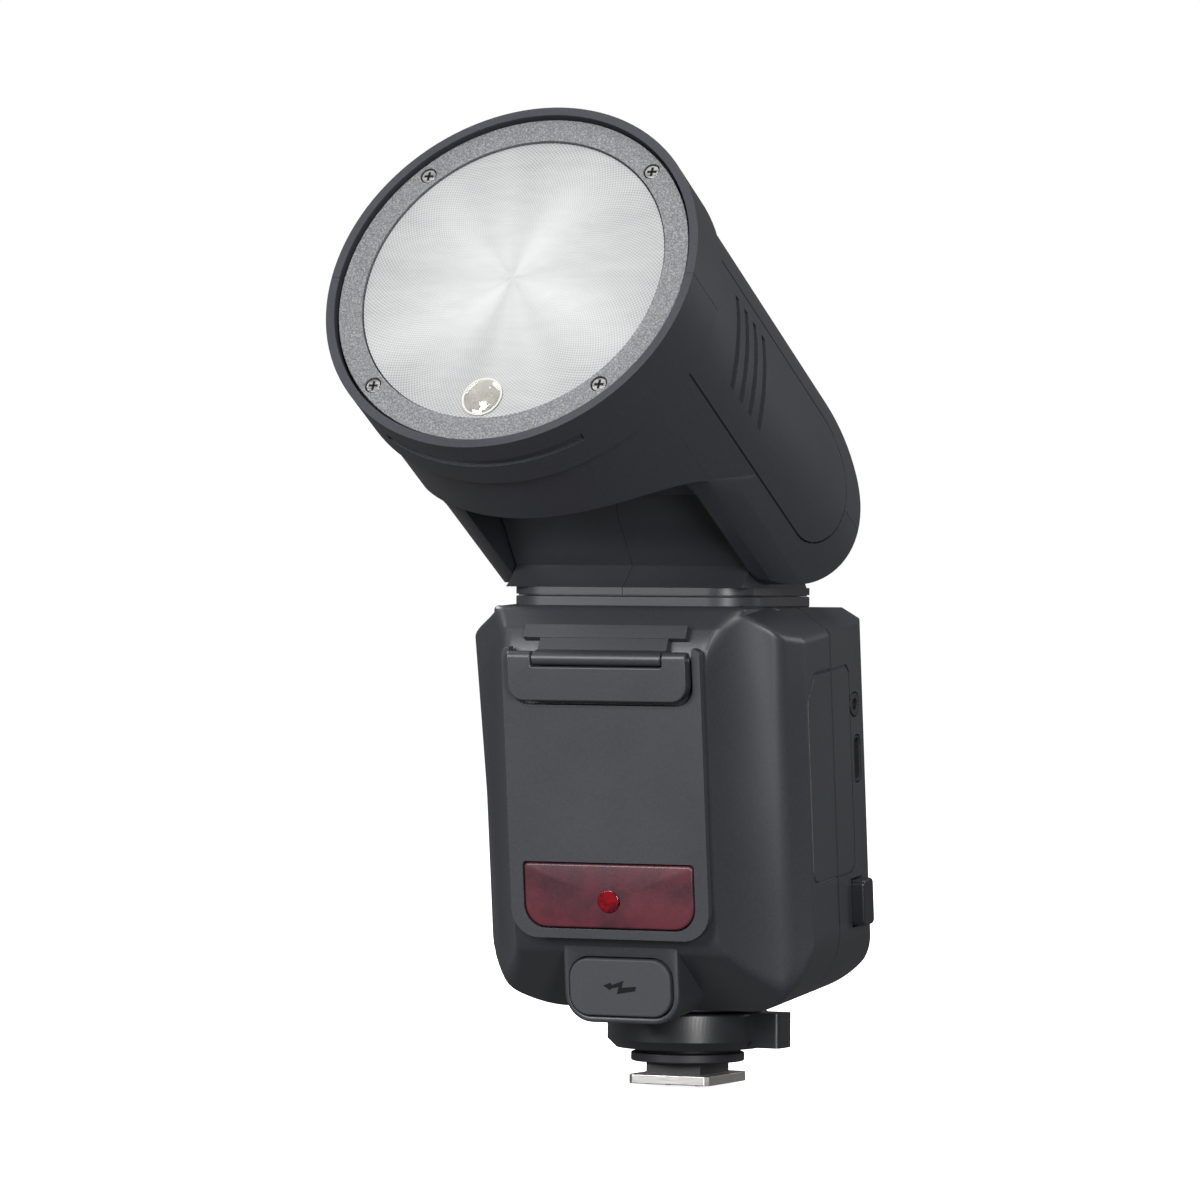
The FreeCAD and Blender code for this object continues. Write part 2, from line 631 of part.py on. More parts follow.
def head_cavity():
    """The hollow inside the head."""
    r = SLOT_R + 2.5
    c = math.cos(math.radians(30.0))
    front = ahead(CAVITY_R, CHIN + 2.5, HEAD_REACH + 1)
    outline = [(-CHIN - 3.0, -14.8), (-r, -14.8), (-r, 0), ("a", (-r * c, r * 0.5), (-r * 0.5, r * c)),
               (5.5, 30.3), (-0.6, 41.0), (-0.6, 60), (-CHIN - 3.0, 60)]
    rear = ahead(CAVITY_R, -10.0, CHIN + 3.5).common(prism(outline, "yz", -60, 60))
    mouth = ahead(RIM_R - 1.8, LEDGE, HEAD_REACH + 1)
    return joined([front, rear, mouth])


def screw_places():
    """The four bezel screws at 45 degrees."""
    k = SCREW_R * math.sqrt(0.5)
    return [(sx * k, sn * k) for sx in (-1, 1) for sn in (-1, 1)]


def head_shell(upper):
    shell = head_form().cut(head_cavity())
    for x, n in screw_places():
        boss = ahead(2.6, LEDGE - 8, LEDGE, x, n).common(ahead(BARREL_R - 0.5, LEDGE - 9, LEDGE + 1))
        shell = shell.fuse(boss)
    shell = shell.removeSplitter()
    for x, n in screw_places():
        shell = shell.cut(ahead(1.05, LEDGE - 6.5, LEDGE + 1, x, n))
    front = HEAD_REACH - 14.0 - 0.1
    recess = prism(side_outline(14.1, front), "yz", -90, 90).cut(ahead(PANEL_IN - 0.2, -60, 120))
    shell = shell.cut(recess)
    vent_room = box(-90, 90, -CHIN - 6.5, 18.5 - CHIN, -11.0, 11.0).cut(box(-30, 30, -90, 90, -90, 90))
    shell = shell.cut(vent_room)
    shell = shell.cut(rod((-90, 0, 0), (1, 0, 0), SHAFT_R + RUN, 180))
    if upper:
        return head_place(shell.common(box(-90, 90, -200, 200, 0.05, 200)))
    groove = tube((0, -HEAD_REACH + 5.3, 0), (0, 1, 0), RIM_R + 2, RIM_R - 0.7, 2.2)
    wedge = [(0, 0), (-60 * math.tan(math.radians(32.5)), -60), (60 * math.tan(math.radians(32.5)), -60)]
    groove = groove.common(prism(wedge, "xz", -200, 200))
    shell = shell.common(box(-90, 90, -200, 200, -200, -0.05))
    return head_place(shell.cut(groove))


def side_panel(right):
    front = HEAD_REACH - 14.5
    skin = ahead(BARREL_R, -30, 100).cut(ahead(PANEL_IN, -31, 101))
    panel = skin.common(prism(side_outline(13.7, front), "yz", 0, 90))
    for i in range(4):
        top = CHIN + 4.75 - 5.05 * i
        low = CHIN - 1.15 - 5.2 * i
        mid = (top + low) / 2 + 0.7
        slot = [(-top, 10.2), ("a", (-mid, 1.25), (-low, -7.7)),
                (-low + VENT_W, -7.7), ("a", (-mid + VENT_W, 1.25), (-top + VENT_W, 10.2))]
        panel = panel.cut(prism(slot, "yz", 0, 90))
    if not right:
        panel = panel.mirror(V(0, 0, 0), V(1, 0, 0))
    return head_place(panel)


def bezel_ring():
    ring = ahead(BEZEL_R, LEDGE, HEAD_REACH - 1.0).cut(ahead(LENS_R + 0.2, LEDGE + 0.8, HEAD_REACH))
    ring = ring.cut(ahead(LENS_R - 1.0, LEDGE - 1, HEAD_REACH))
    for x, n in screw_places():
        ring = ring.cut(ahead(1.1, LEDGE - 1, HEAD_REACH, x, n))
        ring = ring.cut(ahead(1.75, LEDGE + 1.6, HEAD_REACH, x, n))
    return head_place(ring)


def bezel_screws():
    screws = []
    for x, n in screw_places():
        screw = ahead(1.45, LEDGE + 1.6, LEDGE + 2.7, x, n).fuse(ahead(1.0, LEDGE - 5.5, LEDGE + 1.7, x, n))
        screw = screw.removeSplitter()
        top = -(LEDGE + 2.7)
        screw = screw.cut(box(x - 0.9, x + 0.9, top - 0.1, top + 0.6, n - 0.17, n + 0.17))
        screw = screw.cut(box(x - 0.17, x + 0.17, top - 0.1, top + 0.6, n - 0.9, n + 0.9))
        screws.append(head_place(screw))
    return Part.makeCompound(screws)


def front_lens():
    return head_place(ahead(LENS_R, LEDGE + 0.8, HEAD_REACH - 1.1))


def zoom_front_plate():
    back = LEDGE - 10.4
    ring = ahead(CAVITY_R - GAP, back, back + 2).cut(ahead(LENS_R - 5.9, back - 1, back + 3))
    ring = ring.cut(ahead(1.4 + RUN, back - 1, back + 3, 0, LEAD_N))
    return head_place(ring)


LEAD_N = 28.5
ROD_X = CAVITY_R - 5.5


def zoom_rear_plate():
    back = SLOT_R + 2.5
    disc = ahead(CAVITY_R - GAP, back, back + 2).common(box(-90, 90, -90, 90, -14.5, 90))
    return head_place(disc.cut(ahead(7.0, back - 1, back + 3, 0, 12.0)))


def guide_rods():
    back = SLOT_R + 4.5
    rods = [head_place(ahead(1.2, back, LEDGE - 10.4, x, 0)) for x in (-ROD_X, ROD_X)]
    return Part.makeCompound(rods)


def zoom_motor():
    back = SLOT_R + 4.5
    return head_place(ahead(5.8, back, back + 8, 0, LEAD_N))


def lead_screw():
    back = SLOT_R + 4.5 + 8 + GAP
    screw = ahead(1.4, back, LEDGE - 9.0, 0, LEAD_N)
    return head_place(screw)


def zoom_carriage():
    back = LEDGE - 19.7
    deck = ahead(CAVITY_R - 1.5, back, back + 2).common(box(-90, 90, -90, 90, -8.0, 90))
    deck = deck.cut(ahead(1.4 + RUN, back - 1, back + 3, 0, LEAD_N))
    for x in (-ROD_X, ROD_X):
        deck = deck.cut(ahead(1.2 + RUN, back - 1, back + 3, x, 0))
    return head_place(deck)


def reflector():
    back = LEDGE - 17.7
    mouth = LENS_R - 12.4
    base = mouth - 8.0
    outer = Part.makeCone(base, mouth, 16, V(0, -back, 0), V(0, -1, 0))
    inner = Part.makeCone(base - 1.2, mouth - 1.0, 15, V(0, -back - 1.01, 0), V(0, -1, 0))
    shell = outer.cut(inner)
    return head_place(shell.cut(rod((-60, -back - 6, 0), (1, 0, 0), 2.3, 120)))


def flash_tube():
    back = LEDGE - 17.7
    reach = LENS_R - 15.0
    return head_place(rod((-reach, -back - 6, 0), (1, 0, 0), 2.25, 2 * reach))


def modelling_lamp():
    back = LEDGE - 8.4
    n = -(LENS_R - 3.4)
    lamp = ahead(3.7, back, LEDGE - 1.0, 0, n)
    lamp = soften(lamp, 1.6, lambda e: e.CenterOfMass.y < -(LEDGE - 1.5) and e.Length > 20)
    return head_place(lamp)


# ---------------------------------------------------------------- write every piece
os.makedirs("parts", exist_ok=True)
PIECES = {
    "front_cover": front_cover(), "rear_cover": rear_cover(), "front_panel": front_panel(), "af_window": af_window(),
    "af_lens": af_lens(), "hinge_bracket": hinge_bracket(), "cover_pin": cover_pin(),
    "accessory_cover": accessory_cover(), "accessory_port": accessory_port(), "power_port": power_port(),
    "port_cover": port_cover(), "battery": battery(), "battery_bay": battery_bay(), "battery_latch": battery_latch(),
    "main_board": main_board(), "capacitor": capacitor(), "key_board": key_board(), "lcd_module": lcd_module(),
    "lcd_window": lcd_window(), "sync_jack": sync_jack(), "usb_port": usb_port(), "side_button": side_button(),
    "select_dial": select_dial(), "set_button": set_button(), "power_switch": power_switch(),
    "foot_plate": foot_plate(), "contact_block": contact_block(), "contact_pins": contact_pins(),
    "foot_hub": foot_hub(), "foot_boss": foot_boss(), "lock_ring": lock_ring(), "lock_pin": lock_pin(),
    "collar_plate": collar_plate(), "pan_retainer": pan_retainer(),
    "turret_left": turret_half(False), "turret_right": turret_half(True),
    "tilt_shaft": tilt_shaft(), "head_upper_shell": head_shell(True), "head_lower_shell": head_shell(False),
    "side_panel_left": side_panel(False), "side_panel_right": side_panel(True), "bezel_ring": bezel_ring(),
    "bezel_screws": bezel_screws(), "front_lens": front_lens(), "zoom_front_plate": zoom_front_plate(),
    "zoom_rear_plate": zoom_rear_plate(), "guide_rods": guide_rods(), "zoom_motor": zoom_motor(),
    "lead_screw": lead_screw(), "zoom_carriage": zoom_carriage(), "reflector": reflector(),
    "flash_tube": flash_tube(), "modelling_lamp": modelling_lamp(),
}
for number, x in enumerate(FUNCTION_X):
    PIECES["function_button_%d" % (number + 1)] = function_button(x)
for name, (x, z) in ROUND_KEYS.items():
    PIECES[name] = round_button(x, z)
for name, shape in PIECES.items():
    save(name, shape)
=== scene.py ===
"""Speedlight flash: softened shells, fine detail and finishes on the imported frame.

Lengths are written in millimetres and become metres where a mesh is made. Three
local frames are used: the world frame, the leaning body and the tilted head.
"""

from __future__ import annotations

import json
import logging
import math
from dataclasses import dataclass, field
from enum import Enum
from typing import Any

import bmesh
import bpy
import numpy as np
from mathutils import Matrix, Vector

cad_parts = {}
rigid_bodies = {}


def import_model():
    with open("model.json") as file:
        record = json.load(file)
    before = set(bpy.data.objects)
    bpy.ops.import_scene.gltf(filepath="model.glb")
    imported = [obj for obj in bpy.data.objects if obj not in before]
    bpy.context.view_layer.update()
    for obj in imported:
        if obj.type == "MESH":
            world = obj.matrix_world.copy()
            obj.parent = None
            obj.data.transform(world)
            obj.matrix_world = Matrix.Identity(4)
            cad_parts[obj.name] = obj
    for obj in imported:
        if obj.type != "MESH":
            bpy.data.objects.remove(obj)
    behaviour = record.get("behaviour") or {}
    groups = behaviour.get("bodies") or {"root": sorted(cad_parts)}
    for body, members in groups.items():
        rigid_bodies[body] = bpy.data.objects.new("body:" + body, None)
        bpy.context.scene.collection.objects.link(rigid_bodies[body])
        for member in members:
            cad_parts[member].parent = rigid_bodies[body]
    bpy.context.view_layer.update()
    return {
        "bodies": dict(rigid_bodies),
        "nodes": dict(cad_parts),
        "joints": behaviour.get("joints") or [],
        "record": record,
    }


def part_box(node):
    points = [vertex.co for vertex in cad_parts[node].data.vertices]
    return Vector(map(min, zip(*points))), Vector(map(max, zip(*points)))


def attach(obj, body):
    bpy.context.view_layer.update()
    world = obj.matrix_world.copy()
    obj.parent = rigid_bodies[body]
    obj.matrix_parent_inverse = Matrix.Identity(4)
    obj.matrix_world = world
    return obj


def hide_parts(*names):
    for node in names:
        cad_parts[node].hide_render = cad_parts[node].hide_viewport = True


LOG = logging.getLogger("speedlight")
MM = 0.001
Array = np.ndarray
NewMaterial = tuple[bpy.types.Material, bpy.types.NodeTree, bpy.types.Node, bpy.types.Node]


# ---------------------------------------------------------------- frames
class Place(Enum):
    """The local frames a piece can be drawn in."""

    WORLD = "world"
    BODY = "leaning body"
    HEAD = "tilted head"


@dataclass(frozen=True)
class Frames:
    """Angles and origins of the local frames, in degrees and millimetres."""

    lean: float = 6.0
    lean_height: float = 17.0
    tilt: float = 29.8
    pivot_y: float = -21.1
    pivot_z: float = 127.9

    def to_world(self, points: Array, place: Place) -> Array:
        """Turn local points into world metres.

        A body point leans about the level z = 17. A head point is (x, s, n): s runs
        ahead of the tilt pivot along the lens axis and n stands up from it.

        Args:
            points: Array whose last axis is the three local coordinates.
            place: The frame the points are drawn in.

        Returns:
            The same array shape in world metres.
        """
        x, a, b = points[..., 0], points[..., 1], points[..., 2]
        if place is Place.BODY:
            c, s = math.cos(math.radians(self.lean)), math.sin(math.radians(self.lean))
            rise = b - self.lean_height
            y, z = a * c - rise * s, self.lean_height + a * s + rise * c
        elif place is Place.HEAD:
            c, s = math.cos(math.radians(self.tilt)), math.sin(math.radians(self.tilt))
            y, z = self.pivot_y - a * c + b * s, self.pivot_z + a * s + b * c
        else:
            y, z = a, b
        return np.stack([x, y, z], axis=-1) * MM


FRAMES = Frames()


# ---------------------------------------------------------------- nodes and colours
def linear(code: str) -> tuple[float, float, float, float]:
    """Turn an sRGB hex colour into the linear colour shaders use.

    Args:
        code: Six hex digits with a leading hash.

    Returns:
        Red, green and blue as linear numbers, and full alpha.
    """
    parts = [int(code[i : i + 2], 16) / 255.0 for i in (1, 3, 5)]
    r, g, b = (v / 12.92 if v <= 0.04045 else ((v + 0.055) / 1.055) ** 2.4 for v in parts)
    return r, g, b, 1.0


def add_node(
    tree: bpy.types.NodeTree,
    kind: str,
    settings: dict[Any, Any] | None = None,
    links: dict[Any, bpy.types.NodeSocket] | None = None,
) -> bpy.types.Node:
    """Add one shader node, set it and link into it.

    Args:
        tree: The node tree to add to.
        kind: The node's type name.
        settings: Input sockets (by name or number) or properties, and their values.
        links: Input sockets (by name or number) and the outputs that feed them.

    Returns:
        The new node.
    """
    node = tree.nodes.new(kind)
    for key, value in (settings or {}).items():
        if isinstance(key, int) or key in node.inputs:
            node.inputs[key].default_value = value
        else:
            setattr(node, key, value)
    for key, socket in (links or {}).items():
        tree.links.new(socket, node.inputs[key])
    return node


def new_material(name: str, settings: dict[Any, Any]) -> NewMaterial:
    """Start a material with its surface shader and coordinates.

    Args:
        name: The material's name.
        settings: Values set straight on the shader's sockets.

    Returns:
        The material, its tree, its surface shader and its texture coordinates.
    """
    material = bpy.data.materials.new(name)
    material.use_nodes = True
    tree = material.node_tree
    tree.nodes.clear()
    out = add_node(tree, "ShaderNodeOutputMaterial")
    shader = add_node(tree, "ShaderNodeBsdfPrincipled", settings)
    tree.links.new(shader.outputs[0], out.inputs["Surface"])
    coords = add_node(tree, "ShaderNodeTexCoord")
    return material, tree, shader, coords


def waves_per_metre(pitch: float) -> float:
    """Texture scale that repeats about once every pitch millimetres."""
    return 1.0 / (pitch * MM)


# ---------------------------------------------------------------- finishes
@dataclass(frozen=True)
class Moulded:
    """Injection-moulded plastic with a spark-eroded grain.

    The grain breaks the sheen into fine specks, and the sheen itself drifts a little
    over a hand's width, as it does where the melt cooled unevenly.
    """

    name: str
    colour: str
    fleck: str
    roughness: float
    grain: float = 0.55  # true grain is near 0.15 mm; drawn coarser so that it shows
    depth: float = 0.012
    strength: float = 0.5
    drift: float = 0.05
    specular: float = 0.5

    def material(self) -> bpy.types.Material:
        """Build the node tree.

        Returns:
            The finish's material.
        """
        m, tree, shader, coords = new_material(
            self.name, {"IOR": 1.50, "Specular IOR Level": self.specular, "Metallic": 0.0}
        )
        spot = coords.outputs["Object"]
        fine = add_node(
            tree, "ShaderNodeTexNoise",
            {"Scale": waves_per_metre(self.grain), "Detail": 3.0, "Roughness": 0.6}, {"Vector": spot},
        )
        slow = add_node(
            tree, "ShaderNodeTexNoise", {"Scale": waves_per_metre(28.0), "Detail": 2.0}, {"Vector": spot},
        )
        mixed = add_node(
            tree, "ShaderNodeMix", {"data_type": "RGBA", 6: linear(self.colour), 7: linear(self.fleck)},
            {0: fine.outputs["Fac"]},
        )
        tree.links.new(mixed.outputs[2], shader.inputs["Base Color"])
        rough = add_node(
            tree, "ShaderNodeMapRange",
            {
                "From Min": 0.3, "From Max": 0.7, "To Min": self.roughness - self.drift,
                "To Max": self.roughness + self.drift,
            },
            {"Value": slow.outputs["Fac"]},
        )
        tree.links.new(rough.outputs[0], shader.inputs["Roughness"])
        bump = add_node(
            tree, "ShaderNodeBump", {"Strength": self.strength, "Distance": self.depth * MM},
            {"Height": fine.outputs["Fac"]},
        )
        tree.links.new(bump.outputs[0], shader.inputs["Normal"])
        return m


@dataclass(frozen=True)
class TexturedPaint:
    """Fine-textured powder paint: a mid grey with bright and dark grit all over."""

    name: str = "textured_paint"
    colour: str = "#666769"
    dark: str = "#515254"
    bright: str = "#88898b"
    grit: float = 0.34  # true grit is near 0.1 mm; drawn coarser so that it shows

    def material(self) -> bpy.types.Material:
        """Build the node tree.

        Returns:
            The finish's material.
        """
        m, tree, shader, coords = new_material(self.name, {"IOR": 1.5, "Roughness": 0.5})
        cells = add_node(
            tree, "ShaderNodeTexNoise",
            {"Scale": waves_per_metre(self.grit), "Detail": 2.0, "Roughness": 0.7},
            {"Vector": coords.outputs["Object"]},
        )
        ramp = add_node(tree, "ShaderNodeValToRGB", None, {"Fac": cells.outputs["Fac"]})
        band = ramp.color_ramp
        band.elements[0].position, band.elements[0].color = 0.36, linear(self.dark)
        band.elements[1].position, band.elements[1].color = 0.68, linear(self.bright)
        middle = band.elements.new(0.5)
        middle.color = linear(self.colour)
        tree.links.new(ramp.outputs["Color"], shader.inputs["Base Color"])
        bump = add_node(
            tree, "ShaderNodeBump", {"Strength": 0.8, "Distance": 0.05 * MM},
            {"Height": cells.outputs["Fac"]},
        )
        tree.links.new(bump.outputs[0], shader.inputs["Normal"])
        return m


@dataclass(frozen=True)
class PlatedMetal:
    """Plated or polished metal: bright, with the drag lines of its last polish."""

    name: str
    colour: str
    roughness: float
    line: float = 0.4

    def material(self) -> bpy.types.Material:
        """Build the node tree.

        Returns:
            The finish's material.
        """
        m, tree, shader, coords = new_material(
            self.name, {"Base Color": linear(self.colour), "Metallic": 1.0},
        )
        stretch = add_node(
            tree, "ShaderNodeMapping", {"Scale": (0.12, 1.0, 1.0)}, {"Vector": coords.outputs["Object"]},
        )
        lines = add_node(
            tree, "ShaderNodeTexNoise", {"Scale": waves_per_metre(self.line), "Detail": 3.0},
            {"Vector": stretch.outputs[0]},
        )
        rough = add_node(
            tree, "ShaderNodeMapRange",
            {
                "From Min": 0.3, "From Max": 0.7, "To Min": self.roughness * 0.75,
                "To Max": self.roughness * 1.3,
            },
            {"Value": lines.outputs["Fac"]},
        )
        tree.links.new(rough.outputs[0], shader.inputs["Roughness"])
        bump = add_node(
            tree, "ShaderNodeBump", {"Strength": 0.25, "Distance": 0.01 * MM},
            {"Height": lines.outputs["Fac"]},
        )
        tree.links.new(bump.outputs[0], shader.inputs["Normal"])
        return m


@dataclass(frozen=True)
class PrismAcrylic:
    """Pressed acrylic diffuser: milky white, with rings of tiny dimples on its face.

    The dimples follow the piece's own map, whose U runs round the lens and V runs from
    its centre to its edge. Light is painted into the base colour: a painted glow in the
    middle where the reflector behind brightens it, painted spokes and level streaks over
    the rest, and painted shading of the dimples.
    """

    name: str = "prism_acrylic"
    colour: str = "#b5b6b6"
    painted_shade: str = "#737475"
    radius: float = 32.4
    pitch: float = 0.8  # spacing of the dimple rings
    across: int = 220  # dimples round each ring

    def wave(self, tree: bpy.types.NodeTree, source: bpy.types.NodeSocket, count: float) -> bpy.types.Node:
        """Add a sine that repeats so many times over a map direction.

        Args:
            tree: The node tree to add to.
            source: The map direction.
            count: How many waves cross the map.

        Returns:
            The sine node.
        """
        turn = add_node(
            tree, "ShaderNodeMath", {"operation": "MULTIPLY", 1: 2 * math.pi * count}, {0: source},
        )
        return add_node(tree, "ShaderNodeMath", {"operation": "SINE"}, {0: turn.outputs[0]})

    def material(self) -> bpy.types.Material:
        """Build the node tree.

        Returns:
            The finish's material.
        """
        m, tree, shader, coords = new_material(
            self.name, {"IOR": 1.49, "Roughness": 0.42, "Specular IOR Level": 0.35}
        )
        split = add_node(tree, "ShaderNodeSeparateXYZ", None, {0: coords.outputs["UV"]})
        ring = self.wave(tree, split.outputs["Y"], self.radius / self.pitch)
        row = self.wave(tree, split.outputs["X"], self.across)
        dimples = add_node(
            tree, "ShaderNodeMath", {"operation": "MULTIPLY"}, {0: ring.outputs[0], 1: row.outputs[0]},
        )
        bump = add_node(
            tree, "ShaderNodeBump", {"Strength": 0.5, "Distance": 0.06 * MM},
            {"Height": dimples.outputs[0]},
        )
        tree.links.new(bump.outputs[0], shader.inputs["Normal"])
        # Painted light: faint spokes from the reflector, painted into the base colour.
        spokes = add_node(
            tree, "ShaderNodeMapping", {"Scale": (9.0, 0.5, 1.0)}, {"Vector": coords.outputs["UV"]},
        )
        painted_spoke_glow = add_node(
            tree, "ShaderNodeTexNoise", {"Scale": 1.0, "Detail": 1.0}, {"Vector": spokes.outputs[0]},
        )
        # Painted light: level streaks from the reflector, painted into the base colour.
        level = add_node(
            tree, "ShaderNodeMapping", {"Scale": (0.25, 1.0, 1.0)}, {"Vector": coords.outputs["Object"]},
        )
        painted_streak = add_node(
            tree, "ShaderNodeTexNoise", {"Scale": waves_per_metre(1.6), "Detail": 2.0},
            {"Vector": level.outputs[0]},
        )
        tone = add_node(tree, "ShaderNodeMix", {0: 0.22}, {2: painted_spoke_glow.outputs["Fac"], 3: painted_streak.outputs["Fac"]})
        # The dimples' painted shading is added to the painted spokes and streaks.
        fine = add_node(
            tree, "ShaderNodeMath", {"operation": "MULTIPLY_ADD", 1: 0.3},
            {0: dimples.outputs[0], 2: tone.outputs[0]},
        )
        # Painted glow: brighter in the middle, darker towards the edge.
        middle = add_node(
            tree, "ShaderNodeMapRange",
            {"From Min": 0.0, "From Max": 1.0, "To Min": 0.42, "To Max": -0.12},
            {"Value": split.outputs["Y"]},
        )
        painted_light = add_node(
            tree, "ShaderNodeMath", {"operation": "ADD"}, {0: fine.outputs[0], 1: middle.outputs[0]},
        )
        ramp = add_node(
            tree, "ShaderNodeMapRange", {"From Min": -0.1, "From Max": 1.0}, {"Value": painted_light.outputs[0]},
        )
        # The painted light picks between the painted shade colour and the lit colour.
        colour = add_node(
            tree, "ShaderNodeMix", {"data_type": "RGBA", 6: linear(self.painted_shade), 7: linear(self.colour)},
            {0: ramp.outputs[0]},
        )
        tree.links.new(colour.outputs[2], shader.inputs["Base Color"])
        return m


@dataclass(frozen=True)
class TintedAcrylic:
    """Dyed acrylic window: dark red, with darker cloudy patches spread at random."""

    name: str
    colour: str
    cloud: str
    transmission: float
    roughness: float = 0.34
    patch: float = 9.0

    def material(self) -> bpy.types.Material:
        """Build the node tree.

        Returns:
            The finish's material.
        """
        m, tree, shader, coords = new_material(
            self.name, {
                "IOR": 1.49, "Transmission Weight": self.transmission, "Coat Weight": 0.1,
                "Coat Roughness": 0.3,
            }
        )
        spot = coords.outputs["Object"]
        cloud = add_node(
            tree, "ShaderNodeTexNoise",
            {"Scale": waves_per_metre(self.patch), "Detail": 3.0, "Roughness": 0.55}, {"Vector": spot},
        )
        ramp = add_node(
            tree, "ShaderNodeMapRange", {"From Min": 0.38, "From Max": 0.62},
            {"Value": cloud.outputs["Fac"]},
        )
        mixed = add_node(
            tree, "ShaderNodeMix", {"data_type": "RGBA", 6: linear(self.cloud), 7: linear(self.colour)},
            {0: ramp.outputs[0]},
        )
        tree.links.new(mixed.outputs[2], shader.inputs["Base Color"])
        fine = add_node(
            tree, "ShaderNodeTexNoise", {"Scale": waves_per_metre(0.5), "Detail": 2.0}, {"Vector": spot},
        )
        rough = add_node(
            tree, "ShaderNodeMapRange", {"To Min": self.roughness * 0.7, "To Max": self.roughness * 1.4},
            {"Value": fine.outputs["Fac"]},
        )
        tree.links.new(rough.outputs[0], shader.inputs["Roughness"])
        bump = add_node(
            tree, "ShaderNodeBump", {"Strength": 0.3, "Distance": 0.01 * MM},
            {"Height": fine.outputs["Fac"]},
        )
        tree.links.new(bump.outputs[0], shader.inputs["Normal"])
        return m


@dataclass(frozen=True)
class ClearMoulding:
    """Clear polycarbonate or quartz: glassy, with faint flow lines."""

    name: str
    colour: str
    roughness: float = 0.04
    ior: float = 1.46

    def material(self) -> bpy.types.Material:
        """Build the node tree.

        Returns:
            The finish's material.
        """
        m, tree, shader, coords = new_material(
            self.name, {"Base Color": linear(self.colour), "IOR": self.ior, "Transmission Weight": 0.92}
        )
        flow = add_node(
            tree, "ShaderNodeTexNoise", {"Scale": waves_per_metre(2.0), "Detail": 2.0},
            {"Vector": coords.outputs["Object"]},
        )
        rough = add_node(
            tree, "ShaderNodeMapRange", {"To Min": self.roughness * 0.5, "To Max": self.roughness * 2.0},
            {"Value": flow.outputs["Fac"]},
        )
        tree.links.new(rough.outputs[0], shader.inputs["Roughness"])
        bump = add_node(
            tree, "ShaderNodeBump", {"Strength": 0.2, "Distance": 0.02 * MM},
            {"Height": flow.outputs["Fac"]},
        )
        tree.links.new(bump.outputs[0], shader.inputs["Normal"])
        return m


class Finish(Enum):
    """Every finish on the flash."""

    SHELL = Moulded("body_abs", "#2b2c30", "#3c3d42", 0.40)
    HEAD = Moulded("head_abs", "#2d2e33", "#3d3e44", 0.36, grain=0.6, strength=0.28)
    TURRET = Moulded("turret_nylon", "#2c2d31", "#3a3b40", 0.36, strength=0.3)
    NYLON = Moulded("black_nylon", "#1a1a1c", "#26262a", 0.50)
    SATIN = Moulded("satin_key_abs", "#1f2023", "#2b2c30", 0.34, strength=0.25)
    RUBBER = Moulded("port_elastomer", "#313236", "#3d3e42", 0.58, grain=0.5, specular=0.4)
    BATTERY = Moulded("battery_abs", "#2b2c30", "#3c3d42", 0.40)
    # Black ink for the printed bolt, also used for the painted shadows in the screws' recesses and wells.
    INK_AND_SHADOW = Moulded("black_ink_and_painted_shadow", "#0c0c0e", "#121214", 0.7, strength=0.2, specular=0.2)
    DISPLAY = Moulded("display_film", "#39403d", "#444b48", 0.30, grain=1.2, strength=0.1)
    BOARD = Moulded("solder_resist", "#114023", "#1a5a33", 0.35, grain=1.5)
    WHITE = Moulded("white_acetal", "#d9d8d4", "#e6e5e1", 0.45, strength=0.2)
    SLEEVE = Moulded("shrink_sleeve", "#22233a", "#2b2c48", 0.28, grain=1.5, strength=0.15)
    BEZEL = TexturedPaint()
    NICKEL = PlatedMetal("nickel_plate", "#cfcecb", 0.38)
    GOLD = PlatedMetal("gold_plate", "#e0bd6e", 0.22)
    MIRROR = PlatedMetal("bright_aluminium", "#e9eaec", 0.12)
    CUP = Moulded("lamp_cup_white", "#a9a8a2", "#c4c3bd", 0.3, strength=0.1)
    CHIP = Moulded("lamp_phosphor", "#c9b25a", "#dcc873", 0.5, strength=0.1)
    STEEL = PlatedMetal("plain_steel", "#b9babd", 0.34)
    LENS = PrismAcrylic()
    WINDOW = TintedAcrylic("window_acrylic", "#5a2731", "#3f2029", 0.1)
    RED = TintedAcrylic("red_acrylic", "#860c18", "#3c060d", 0.2, roughness=0.1, patch=2.0)
    GLASS = TintedAcrylic("display_acrylic", "#101214", "#15181a", 0.55, roughness=0.06, patch=30.0)
    TUBE = ClearMoulding("quartz_tube", "#eef3f6")
    LAMP = ClearMoulding("lamp_polycarbonate", "#fbfaf4", ior=1.58)


class Paintbox:
    """Makes each finish's material once and hands it out."""

    def __init__(self) -> None:
        """Start with no materials made."""
        self._made: dict[Finish, bpy.types.Material] = {}

    def get(self, finish: Finish) -> bpy.types.Material:
        """Return the finish's material, made on first use."""
        if finish not in self._made:
            self._made[finish] = finish.value.material()
        return self._made[finish]

    def dress(self, obj: bpy.types.Object, finish: Finish) -> None:
        """Give every material slot of an object this finish.

        Args:
            obj: The object to dress.
            finish: The finish to give it.
        """
        material = self.get(finish)
        if not obj.data.materials:
            obj.data.materials.append(material)
        for place in obj.material_slots:
            place.material = material


# ---------------------------------------------------------------- meshes
@dataclass
class Patch:
    """Points and faces on the way to becoming a mesh, in local millimetres."""

    points: Array
    faces: list[list[int]]
    uv: Array | None = None

    def __add__(self, other: "Patch") -> "Patch":
        """Join two patches into one; their faces stay separate."""
        shift = len(self.points)
        faces = self.faces + [[i + shift for i in f] for f in other.faces]
        return Patch(np.concatenate([self.points, other.points]), faces)


